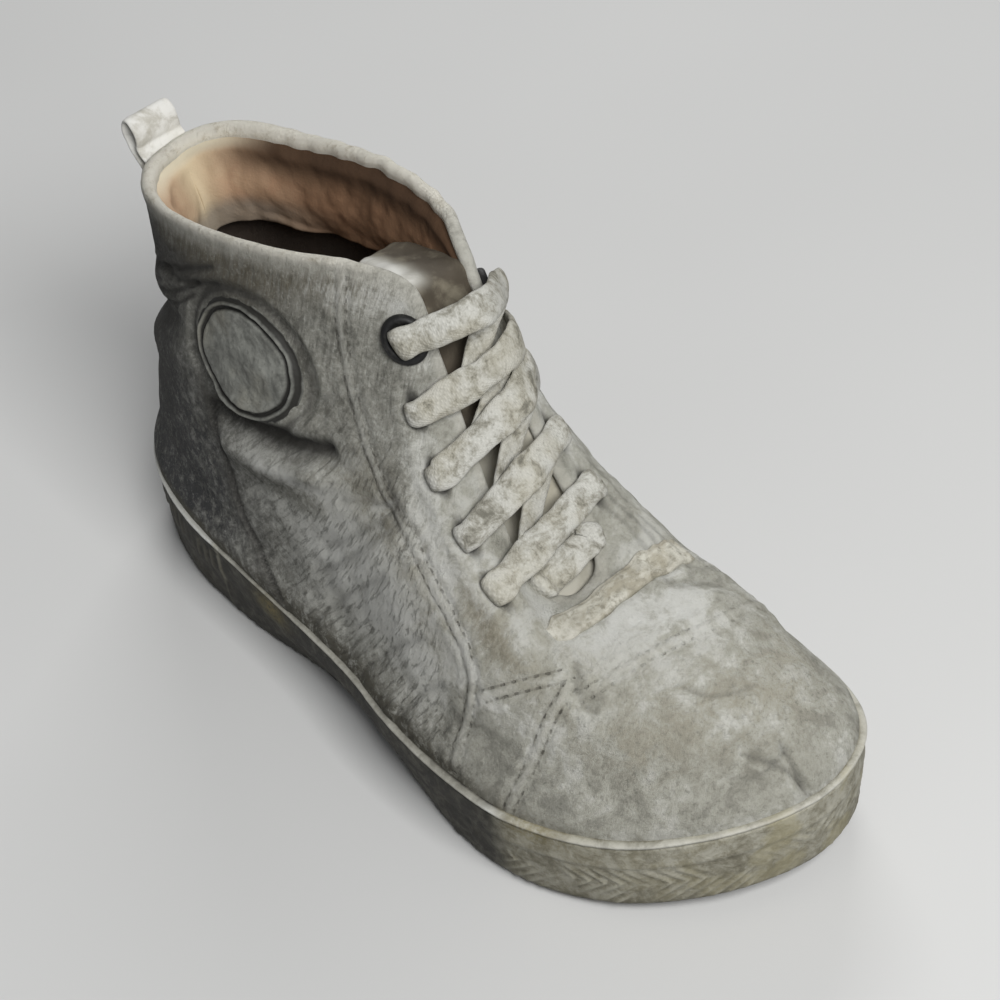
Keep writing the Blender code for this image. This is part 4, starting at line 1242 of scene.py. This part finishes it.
def liningLay(u, v):
    turn = lining["from"] + (lining["to"] - lining["from"]) * u
    stop = turn % len(stops)
    t, front = folded(v)  # 0 at the collar's edge
    ends = ease(np.minimum(u, 1 - u) / 0.07)
    heel = bell(stopGap(stop, 0), 3.0)
    depth = lining["depth"] * (0.5 + 0.5 * ends) + 0.05 * heel
    share = lining["top"] - depth * t
    base = upperPoint(stop, share)
    _, rising, out = upperFrame(stop, share)
    start = 2 * rimSize(stop) - 0.9 + 2.0 * ease(t / 0.06)
    tucked = ease((t - 0.94) / 0.06)
    medial = bell(stopGap(stop, 21.5), 2.2)
    soft = 0.9 * lumps(base, 12.0, 4.0) + 0.5 * medial * lumps(base, 5.0, 8.0)
    streak = np.array([noise.noise(Vector((s * 1.6, h * 7.0, 2.0))) for s, h in zip(turn, share)])
    crown = np.sin(math.pi * np.clip(t * 0.8 + 0.1, 0, 1)) ** 0.6
    pad = lining["pad"] * crown * ease(t / 0.1) * (1 - 0.8 * tucked)
    pad += lining["step"] * ease((t - 0.1) / 0.5) * (1 - tucked)
    wrinkle = 0.25 * medial * streak * ease(t / 0.1)
    thick = np.where(front, pad + soft * ease(t / 0.15) + wrinkle, -0.5 * ease(t / 0.06))
    depthIn = start + thick * ends - np.minimum(creaseShift(base), 0)
    points = base - out * depthIn[:, None]
    marks = {
        "deep": t,
        "toMiddle": np.abs(stopGap(stop, 0)) / 6.7,
        "inner": ease((26.5 - turn) / 1.5),
        # fold: painted shade where the lining dips
        "fold": np.clip(-wrinkle * 1.6 - soft * 0.3, 0, 1),
        "size": lining["flat"],
    }
    return points, marks


def liningPaint():
    paint = Paint("collar lining")
    deep, inner, away, fold = paint.marks("deep", "inner", "toMiddle", "fold")
    broad = paint.noise(16.0, 5.0, 0.6, 0.5)
    blotch = paint.noise(6.0, 7.0, 0.7, 0.6)
    weave = paint.noise(0.8, 3.0, 0.75)
    streak = paint.strokes(2.5, 20.0, 5.0, 5.0, 0.6)
    brim = inner * (1 - deep.within(0.12, 0.40))
    colour = paint.coats(
        (0.56, 0.46, 0.31),
        (away.within(0.02, 0.34), (0.43, 0.29, 0.185)),
        (broad.within(0.42, 0.6) * away.within(0.05, 0.3) * 0.5, (0.36, 0.21, 0.13)),
        (inner * away.within(0.22, 0.62) * 0.85, (0.20, 0.108, 0.058)),
        (deep.within(0.50, 0.72) * (0.45 + 0.6 * broad) * (1 - away.within(0.3, 0.6)), (0.27, 0.235, 0.19)),
        (brim * away.within(0.12, 0.40) * (0.8 + 0.3 * streak), (0.055, 0.030, 0.016)),
        (blotch.within(0.54, 0.72) * 0.3 * away, (0.12, 0.07, 0.042)),
        # painted shade in the lining's dips and painted shadow at its lower edge, where it tucks under
        (fold * 0.3 + deep.within(0.90, 1.0) * 0.8, (0.03, 0.020, 0.013)),
        ((1 - deep.within(0.02, 0.10)) * (1 - away.within(0.12, 0.40)), (0.60, 0.54, 0.41)),
    )
    normal = paint.bump(weave * 0.4 + blotch * 0.5 + streak * 0.3, 0.4)
    return paint.finish(colour, 0.92, normal, Specular_IOR_Level=0.25)


layPiece("collar_lining", lining, liningLay, liningPaint(), "insole_lining")
print("inside laid")


# The tongue, a soft pad that lies under the throat and slumps back inside the collar
tongue = {
    "flat": (0.13, 0.12),
    "columns": 120,
    "rows": 150,
    "clear": 3.2,
    "tuck": 0.15,
    "top": (7.0, 19.0),
    "turns": 4.2,
    "under": (1.0, -8.0, -6.0),
    "slump": (0.5, 9.0, -1.2),
    "thick": 3.4,
    "sag": 6.0,
}


def splinePatch(control, down, across):
    last = control.shape[1] - 1
    at = np.clip(across, 0, 1) * last
    first = np.minimum(at.astype(int), last - 1)
    lines = spline(control, down)
    index = np.arange(len(lines))
    return curved(
        *(lines[index, np.clip(first + step, 0, last)] for step in (-1, 0, 1, 2)), (at - first)[:, None]
    )


def tongueControl():
    shares = np.array((1 - tongue["tuck"], 1 - tongue["tuck"] / 2, 0.99))
    sections = []
    for step in np.linspace(1, 0, 13):
        sides = []
        for stop in (tongue["top"][0] + tongue["turns"] * step, tongue["top"][1] - tongue["turns"] * step):
            line = np.full(3, stop)
            sides.append(upperPoint(line, shares) - upperFrame(line, shares)[2] * tongue["clear"])
        outer, inner = sides
        sag = upward * tongue["sag"] * math.sin(math.pi * min(1, (1 - step) * 1.15)) ** 2
        middle = [outer[-1] + (inner[-1] - outer[-1]) * across - sag for across in (0.33, 0.67)]
        sections.append(np.array([*outer, *middle, *inner[::-1]]))

    def shifted(section, step, times, narrowing):
        middle = section.mean(0)
        return middle + (section - middle) * narrowing + np.array(step) * times

    under = [shifted(sections[0], tongue["under"], times, 1 - 0.08 * times) for times in (2.0, 1.0)]
    slumped = [
        shifted(sections[-1], tongue["slump"], times, 1 - 0.04 * times**2) for times in (1.0, 2.0, 3.0)
    ]
    return np.array([*under, *sections, *slumped])


tongueShape = tongueControl()


def tongueLay(u, v):
    across, front = folded(v)
    point = splinePatch(tongueShape, u, across)
    step = 0.01
    down = splinePatch(tongueShape, u + step, across) - splinePatch(tongueShape, u - step, across)
    side = splinePatch(tongueShape, u, across + step) - splinePatch(tongueShape, u, across - step)
    out = unit(np.cross(side, down))
    out *= np.sign(out[:, 2:] + 1e-6)
    full = rounded(1 - np.minimum(np.minimum(across, 1 - across) / 0.09, np.minimum(u, 1 - u) / 0.02))
    puff = 1.3 * np.sin(math.pi * across) * bell(u - 0.86, 0.14)
    soft = 0.7 * lumps(point, 11.0, 6.0) + 0.35 * lumps(point, 4.0, 2.0)
    height = np.where(front, puff + soft, -tongue["thick"])
    middle = -tongue["thick"] / 2
    height = middle + (height - middle) * full
    # flap: painted light on the tongue's slumped top, and shade: painted shade down in the throat
    flap = ease((u - 0.80) / 0.05) * ease((0.50 - across) / 0.18)
    shade = ease((u - 0.40) / 0.16) * (1 - flap)
    return point + out * height[:, None], {"shade": shade, "flap": flap, "size": tongue["flat"]}


def softLeather(name, light, shade, stain, scale=1.0, shaded=None):
    paint = Paint(name)
    blotch = paint.noise(10.0 * scale, 5.0, 0.65, 0.4)
    speck = paint.noise(2.2 * scale, 5.0, 0.7, 0.6)
    fine = paint.noise(0.9, 3.0, 0.7)
    broad = paint.noise(24.0, 3.0)
    colour = paint.coats(
        light,
        (blotch.within(0.44, 0.68) * (0.5 + 0.6 * speck), shade),
        (broad.within(0.46, 0.66) * 0.5, stain),
    )
    if shaded:
        colour = paint.coats(
            colour,
            # painted light on the flap and painted shade in the throat
            (paint.mark("flap"), paint.mix(blotch.within(0.42, 0.7) * 0.5, (0.60, 0.595, 0.555), shade)),
            (paint.mark("shade"), paint.mix(blotch.within(0.45, 0.7) * 0.4, shaded, stain)),
        )
    normal = paint.bump(blotch * 0.45 + speck * 0.3 + fine * 0.15, 0.3)
    return paint.finish(colour, paint.clamp(0.6 + 0.25 * blotch), normal, Specular_IOR_Level=0.25)


tongueSkin = softLeather(
    "tongue leather",
    (0.40, 0.385, 0.325),
    (0.29, 0.275, 0.225),
    (0.32, 0.29, 0.215),
    shaded=(0.075, 0.062, 0.045),
)
layPiece("tongue_pad", tongue, tongueLay, tongueSkin, "tongue_leather", "tongue")
print("tongue laid")


# Flat ribbons: a path of middles and width directions, smoothed and wrapped in a rounded flat section
def ribbonLay(middles, sides, width, thick, swell=0.0, seed=0.0, pinch=0.0, taper=0.0):
    middles, sides = np.asarray(middles, float), np.asarray(sides, float)

    def lay(u, v):
        fine = np.linspace(0, 1, 400)
        passed = runAlong(spline(middles, fine))
        length = passed[-1]
        run = u * length
        place = np.interp(run, passed, fine)
        point = spline(middles, place)
        forward = unit(spline(middles, place + 0.004) - spline(middles, place - 0.004))
        side = spline(sides, place)
        side = unit(side - forward * (side * forward).sum(1, keepdims=True))
        up = np.cross(forward, side)
        angle = 2 * math.pi * v
        # a rounded flat section: a goes across it, b through it
        a, b = (
            np.sign(w) * np.abs(w) ** power for w, power in ((np.cos(angle), 0.55), (np.sin(angle), 0.75))
        )
        toEnd = np.minimum(run, length - run)
        full = rounded(1 - toEnd / (thick * 0.8))
        wide = width / 2 * (1 + swell * lumps(np.stack([run, run * 0 + seed, run * 0], -1), 9.0, seed))
        wide *= (1 - pinch * (1 - ease(toEnd / 9.0))) * (1 - taper * (1 - ease((length - run) / 20.0)))
        cupped = 0.18 * width * (a**2 - 0.5) * swell
        rough = 0.12 * lumps(point + side * (a * width)[:, None], 2.6, seed + 3)
        high = (b * thick / 2 + (cupped + rough) * full) * full
        moved = point + side * (a * wide * full)[:, None] + up * high[:, None]
        return moved, {"size": (length * mm, 2.2 * width * mm)}

    return lay


# The lace: six bars over the throat and the slanting runs beneath them
lace = {
    "width": 9.0,
    "thick": 1.9,
    "columns": 110,
    "weave": 420.0,
    "runColumns": 60,
    "runWidth": 0.85,
    "rows": 24,
    "clear": 0.6,
    "dive": 4.2,
    "topDive": 6.0,
    "rise": 1.7,
    "caught": 2,
    # how far each bar arches and leans to the inner side
    "bars": ((15.0, -3.0), (14.0, 4.0), (10.0, 5.0), (7.0, 1.0), (4.0, 0.0), (1.0, 0.0)),
    "stand": (2.2, 0.0, 0.0, 0.0, 0.0, 0.7),
}


def barPath(number):
    outerStop, innerStop, outerInset, innerInset = laceHoles[number]
    arch, push = lace["bars"][number]
    stand = lace["thick"] / 2 + lace["clear"] + lace["stand"][number]
    ends, downs, outs = [], [], []
    for stop, inset in ((outerStop, outerInset), (innerStop, innerInset)):
        middle, along, out = axesAt(stop, 1 - inset)
        ends.append(middle + out * stand)
        downs.append(along if along[2] < 0 else -along)
        outs.append(out)
    rising = unit(outs[0] + outs[1])
    middles, sides = [], []
    for t in np.linspace(0, 1, 9):
        hump = math.sin(math.pi * t) ** 0.8
        point = ends[0] + (ends[1] - ends[0]) * t + rising * arch * hump
        point[0] += push * hump * t
        middles.append(point)
        sides.append(downs[0] + (downs[1] - downs[0]) * t)
    return middles, sides, outs, downs


def barWithDives(number):
    middles, sides, outs, downs = barPath(number)
    start, end = middles[0], middles[-1]  # the outer end first
    inwardOuter, inwardInner = (unit(np.cross(out, down)) for out, down in zip(outs, downs))
    inwardOuter = inwardOuter * np.sign(inwardOuter[0])
    inwardInner = -inwardInner * np.sign(inwardInner[0])
    dive = lace["dive"] if number else lace["topDive"]
    rise = min(lace["rise"], 0.35 * lace["bars"][number][0])
    head = [
        start - outs[0] * dive - inwardOuter * 0.2,
        start - outs[0] * (dive * 0.45) - inwardOuter * 1.5,
        start + outs[0] * 0.4 - inwardOuter * 1.7,
    ]
    # the inner end turns down along the edge and goes under: height, inwards, down the throat, turn
    out, down = outs[1], downs[1]
    if number == lace["caught"]:
        hook = (
            (2.2, 2.0, -2.6, 0.25),
            (1.4, -2.0, -1.6, 0.7),
            (0.3, -3.8, 1.6, 1.2),
            (-1.6, -3.4, 5.0, 1.5),
            (-4.6, -2.2, 7.5, 1.5),
        )
    else:
        hook = (
            (rise, 1.2, 0.0, 0.0),
            (rise - 0.7, -1.5, 0.0, 0.0),
            (-1.9, -2.2, 0.0, 0.0),
            (-4.6, -2.0, 0.0, 0.0),
        )
    tail = [end + out * high + inwardInner * back + down * drop for high, back, drop, _ in hook]
    turned = [down * math.cos(angle) + inwardInner * math.sin(angle) for _, _, _, angle in hook]
    if number == lace["caught"]:
        middles[-2] = middles[-2] - down * 3.0
        middles[-3] = middles[-3] - down * 1.4
    lifted = middles[0] + outs[0] * rise + inwardOuter * 1.2
    return head + [lifted] + middles[1:-1] + tail, [sides[0]] * 4 + sides[1:-1] + turned


def lacePaint():
    paint = Paint("cotton lace")
    surface = paint.surface()
    blotch = paint.noise(5.0, 9.0, 0.72, 0.4)
    broad = paint.noise(20.0, 3.0)
    speck = paint.noise(1.1, 5.0, 0.76)

    def rib(turn):
        where = paint.node("ShaderNodeMapping", None, {"Vector": surface, "Rotation": (0.0, 0.0, turn)})
        sockets = {
            "Vector": where.outputs["Vector"],
            "Scale": lace["weave"],
            "Distortion": 0.8,
            "Detail": 1.0,
        }
        sockets["Detail Scale"] = 3.0
        return Wire(paint, paint.node("ShaderNodeTexWave", {"wave_type": "BANDS"}, sockets).outputs["Fac"])

    weave = rib(0.9) * rib(-0.9)
    colour = paint.coats(
        (0.54, 0.535, 0.49),
        (blotch.within(0.42, 0.60), (0.30, 0.29, 0.245)),
        (broad.within(0.42, 0.62) * 0.4, (0.46, 0.43, 0.335)),
        (blotch.within(0.54, 0.68) * 0.85, (0.13, 0.125, 0.10)),
        (speck.within(0.50, 0.70) * 0.45, (0.16, 0.15, 0.12)),
        ((1 - weave) * 0.14, (0.14, 0.13, 0.11)),
    )
    normal = paint.bump(weave * 0.35 + speck * 0.35 + blotch * 0.3, 0.3)
    return paint.finish(colour, 0.9, normal, Specular_IOR_Level=0.25)


def makeLace():
    bm = bmesh.new()
    bars = [barPath(number)[0] for number in range(len(laceHoles))]
    for number in range(len(bars)):
        middles, sides = barWithDives(number)
        taper = 0.0 if number else 0.5
        lay = ribbonLay(middles, sides, lace["width"], lace["thick"], 0.2, number * 3.7, 0.3, taper)
        makeSheet(lace["columns"], lace["rows"], lay, bm)
    for number in range(len(bars) - 1):
        start, end = bars[number][6], bars[number + 1][2]
        run = []
        for t in np.linspace(0, 1, 6):
            deeper = 1.8 * t if number == 4 else 0.0
            under = 1.2 + 2.6 * math.sin(math.pi * t) + deeper
            run.append(start + (end - start) * t + np.array((0, 0.5, -0.9)) * under)
        slope = [np.array((0.0, -0.45, -0.9))] * len(run)
        lay = ribbonLay(run, slope, lace["width"] * lace["runWidth"], lace["thick"], 0.12, 20 + number)
        makeSheet(lace["runColumns"], lace["rows"], lay, bm)
    putPiece("lace_cotton", bm, lacePaint(), ("lace",))


makeLace()
print("lace laid")


# Eyelets, the badge, the strap below the throat and the loop at the heel
eyelet = {"inner": 3.4, "outer": 6.0, "thick": 1.5, "stretch": 1.18, "hidden": 0.74, "sides": 20, "steps": 56}


def makeEyelet(name, node, stop, inset, size=1.0):
    middle, along, out = axesAt(stop, 1 - inset)
    bm = bmesh.new()
    bm.loops.layers.uv.new("surface")
    ring, tube = (eyelet["inner"] + eyelet["outer"]) / 2, (eyelet["outer"] - eyelet["inner"]) / 2
    made = bmesh.ops.create_circle(bm, radius=1.0, segments=eyelet["sides"])["verts"]
    bmesh.ops.scale(bm, vec=(tube, eyelet["thick"], 1.0), verts=made)
    bmesh.ops.rotate(bm, cent=(0, 0, 0), matrix=Matrix.Rotation(math.pi / 2, 3, "X"), verts=made)
    bmesh.ops.translate(bm, vec=(ring, 0, 0), verts=made)
    full = {
        "cent": (0, 0, 0),
        "axis": (0, 0, 1),
        "angle": 2 * math.pi,
        "steps": eyelet["steps"],
        "use_merge": True,
    }
    bmesh.ops.spin(bm, geom=bm.verts[:] + bm.edges[:], **full)
    bmesh.ops.remove_doubles(bm, verts=bm.verts, dist=1e-5)
    across = np.cross(out, along)
    axes = Matrix([along * eyelet["stretch"] * size, across * size, out]).transposed().to_4x4()
    axes.translation = middle + out * 0.5
    bmesh.ops.transform(bm, matrix=Matrix.Scale(mm, 4) @ axes, verts=bm.verts)
    putPiece(name, bm, eyeletMetal, (node,))


def metalPaint():
    paint = Paint("blackened eyelet")
    worn = paint.noise(1.8, 5.0, 0.7)
    dust = paint.noise(0.7, 3.0, 0.7)
    colour = paint.mix(worn.within(0.5, 0.75) * 0.5, (0.012, 0.012, 0.012), (0.09, 0.085, 0.075))
    rough = paint.clamp(0.36 + 0.35 * worn)
    return paint.finish(colour, rough, paint.bump(worn + dust * 0.4, 0.12), Metallic=0.35)


eyeletMetal = metalPaint()
makeEyelet("eyelet_ring_outer", "eyelet_outer", laceHoles[0][0], laceHoles[0][2])
makeEyelet("eyelet_ring_inner", "eyelet_inner", laceHoles[0][1], laceHoles[0][3], eyelet["hidden"])


laid = upperPiece.data
onLeather = BVHTree.FromPolygons(
    [vert.co for vert in laid.vertices], [face.vertices for face in laid.polygons]
)


def settle(points, out, reach=9.0):
    # moves points down onto the finished leather, against the direction out
    settled = []
    for point in points:
        hit = onLeather.ray_cast(Vector(point + out * reach) * mm, -Vector(out), 2.2 * reach * mm)[0]
        settled.append(np.array(hit) / mm if hit else point)
    return np.array(settled)


def badgeLay(u, v):
    radius = badge["radius"]
    middle, along, out = axesAt(badge["stop"], badge["share"])
    across = np.cross(out, along)
    angle = 2 * math.pi * u
    front = v < badge["front"]
    r = np.clip(radius * np.where(front, v / badge["front"], (1 - v) / (1 - badge["front"])), 0, radius)
    sideways, upwards = badge["oval"] * r * np.cos(angle), r * np.sin(angle)
    flat = middle + along * sideways[:, None] + across * upwards[:, None]
    base = settle(flat, out)
    smoothed = 0.5 * base + 0.5 * (flat + out * ((base - flat) @ out).mean())
    lined = r + 0.18 * lumps(flat, 5.0, 3.3, 1)
    cut = sum(badge["ringDepth"] * bell(lined - ring, badge["ringWidth"]) for ring in badge["rings"])
    crown = 0.5 * bell(r, 14) + 0.3 * bell(lined - 15.8, badge["ringWidth"])
    soft = 0.35 * lumps(flat, 7.0, 5.1) + 0.15 * lumps(flat, 2.4, 9.1)
    height = badge["stand"] + crown - cut + soft - 1.5 * ease((r - radius + 1.2) / 1.2)
    height = np.where(front, height, -0.6)
    points = base * 0.8 + smoothed * 0.2 + out * height[:, None]
    rimEdge = ease((r - radius + 1.6) / 1.6)
    return points, {"cut": np.clip(cut * 1.2, 0, 1) * front, "rimEdge": rimEdge, "size": badge["flat"]}


def badgePaint():
    paint = Paint("badge leather")
    cut, rim = paint.marks("cut", "rimEdge")
    blotch = paint.noise(6.0, 6.0, 0.7, 0.5)
    speck = paint.noise(1.5, 5.0, 0.72)
    broad = paint.noise(16.0, 3.0)
    colour = paint.coats(
        (0.28, 0.284, 0.255),
        (blotch.within(0.38, 0.66), (0.15, 0.152, 0.135)),
        (broad.within(0.45, 0.65) * 0.4, (0.28, 0.26, 0.20)),
        (speck.within(0.5, 0.7) * 0.5, (0.08, 0.08, 0.07)),
        # painted shade in the two cut ring grooves; the rim is darkened in specks
        (cut * (0.9 + 0.5 * speck) + rim * 0.5 * speck, (0.016, 0.015, 0.012)),
    )
    normal = paint.bump(blotch * 0.4 + speck * 0.6, 0.35)
    return paint.finish(colour, 0.7, normal)


layPiece("round_badge", badge, badgeLay, badgePaint(), "strap_leather", "badge")

throatBand = {
    "flat": (0.06, 0.02),
    "columns": 150,
    "rows": 50,
    "from": (-21.5, 181.0),
    "to": (25.5, 184.0),
    "above": 140.0,
    "width": 9.0,
    "thick": 1.3,
    "stitchDepth": 0.3,
}


def throatBandLay(u, v):
    (x0, l0), (x1, l1) = throatBand["from"], throatBand["to"]
    t, front = folded(v)
    ends = 1 - np.minimum(u / 0.3, (1 - u) / 0.1)
    sides = np.clip(1 - np.minimum(t, 1 - t) / 0.14, 0, 1)
    full = rounded(ends) * rounded(sides)
    x = x0 + (x1 - x0) * u
    ripple = 0.2 * np.sin(u * 23 + 0.7) + 0.15 * np.sin(u * 41)
    along = l0 + (l1 - l0) * u + throatBand["width"] * (t - 0.5) * (1 - 0.5 * ease((0.1 - u) / 0.1)) + ripple
    base = settle(pointAt(x, along, throatBand["above"]), upward, 80.0)
    soft = 0.3 * lumps(base, 5.0, 2.7) + 0.15 * lumps(base, 1.9, 6.1)
    stitched = throatBand["stitchDepth"] * bell(t - 0.14, 0.04)
    height = np.where(front, (throatBand["thick"] + 0.4 + soft - stitched) * full, 0) - 0.3
    marks = {
        "seam": np.clip(stitched * 2.2, 0, 1) * front,
        "rimEdge": sides * front,
        "end": ease((0.34 - u) / 0.3),
        "size": throatBand["flat"],
    }
    return base + upward * height[:, None], marks


def strapPaint():
    paint = Paint("strap leather")
    seam, rim = paint.marks("seam", "rimEdge")
    blotch = paint.noise(7.0, 6.0, 0.68, 0.5)
    speck = paint.noise(1.6, 5.0, 0.72)
    grit = paint.noise(3.2, 9.0, 0.78, 0.3)
    colour = paint.coats(
        (0.51, 0.495, 0.425),
        (blotch.within(0.38, 0.62), (0.33, 0.305, 0.235)),
        (grit.within(0.50, 0.62) * 0.75, (0.22, 0.205, 0.155)),
        (speck.within(0.46, 0.66) * 0.5, (0.19, 0.175, 0.135)),
        (
            paint.mark("end") * 0.8,
            paint.mix(grit.within(0.42, 0.6), (0.50, 0.485, 0.425), (0.33, 0.315, 0.255)),
        ),
        (seam * 0.5 + rim * 0.35 * speck, (0.16, 0.14, 0.10)),
    )
    return paint.finish(colour, 0.72, paint.bump(blotch * 0.4 + speck * 0.5, 0.35))


layPiece("throat_strap", throatBand, throatBandLay, strapPaint(), "strap_leather", "throat_band")

pullLoop = {
    "columns": 130,
    "rows": 30,
    "width": 15.0,
    "thick": 1.9,
    "outside": (0.80, 0.86, 0.92, 0.97),
    "inside": (0.985, 0.965),
    "loop": ((-2.6, 3.6), (-3.6, 7.0), (-3.3, 10.2), (-1.2, 11.0), (1.0, 9.0), (1.8, 6.0), (2.0, 3.0)),
}


def makePullLoop():
    stand = 1.2
    at = stopValues(0.0)

    def lifted(share, height):
        return upperPoint(0.0, share) + upperFrame(np.array([0.0]), np.array([share]))[2][0] * height

    middles = [lifted(share, stand) for share in pullLoop["outside"]]
    middles += [pointAt(float(at["topX"]), along, float(at["topZ"]) + up) for along, up in pullLoop["loop"]]
    middles += [lifted(share, -leather["rimHeel"]) for share in pullLoop["inside"]]
    sides = [np.array((1.0, 0.0, 0.0))] * len(middles)
    lay = ribbonLay(middles, sides, pullLoop["width"], pullLoop["thick"], 0.14, 5.5)
    skin = softLeather("loop ribbon", (0.70, 0.69, 0.65), (0.42, 0.40, 0.34), (0.58, 0.55, 0.47), 0.7)
    layPiece("heel_loop", pullLoop, lay, skin, "strap_leather", "pull_loop")


makePullLoop()
print("trim laid")

# Floor and light
studio = {
    "size": 4.0,
    "floor": (0.56, 0.56, 0.55),
    "backdrop": (0.62, 0.62, 0.61),
    "unseen": (0.20, 0.20, 0.20),
    "world": 0.16,
    "sky": (0.95, 0.97, 1.0),
    "target": (0.0, 0.0, 0.05),
}
lamps = (
    # name, place, size, power in watts
    ("key", (-0.20, -0.76, 0.95), (0.6, 0.45), 15.0),
    ("back", (0.72, 0.66, 0.72), (0.6, 0.4), 5.0),
)


def makeStage():
    # pale to the camera and darker to bounced light, so that the shoe keeps its shaded sides
    paint = Paint("studio floor")
    rays = paint.node("ShaderNodeLightPath").outputs
    camera, glossy, through = (
        Wire(paint, rays[f"Is {kind} Ray"]) for kind in ("Camera", "Glossy", "Transmission")
    )
    seen = paint.clamp(camera + glossy + through)
    pale = paint.mix(paint.noise(240.0, 2.0), studio["floor"], studio["backdrop"])
    material = paint.finish(paint.mix(seen, studio["unseen"], pale), 0.9)
    bm = bmesh.new()
    bmesh.ops.create_grid(bm, x_segments=1, y_segments=1, size=studio["size"])
    mesh = bpy.data.meshes.new("floor")
    bm.to_mesh(mesh)
    bm.free()
    mesh.materials.append(material)
    floor = bpy.data.objects.new("floor", mesh)
    bpy.context.scene.collection.objects.link(floor)


def makeLamp(name, place, size, power):
    data = bpy.data.lights.new(name, "AREA")
    data.shape = "RECTANGLE"
    data.size, data.size_y = size
    data.energy = power
    lamp = bpy.data.objects.new(name, data)
    facing = (Vector(studio["target"]) - Vector(place)).to_track_quat("-Z", "Y")
    lamp.matrix_world = Matrix.Translation(place) @ facing.to_matrix().to_4x4()
    bpy.context.scene.collection.objects.link(lamp)


def makeWorld():
    world = bpy.data.worlds.new("studio")
    world.use_nodes = True
    shade = world.node_tree.nodes["Background"]
    shade.inputs["Color"].default_value = (*studio["sky"], 1.0)
    shade.inputs["Strength"].default_value = studio["world"]
    bpy.context.scene.world = world


makeStage()
makeWorld()
for lamp in lamps:
    makeLamp(*lamp)
bpy.context.scene.view_settings.view_transform = "Standard"
print("stage and lamps set")
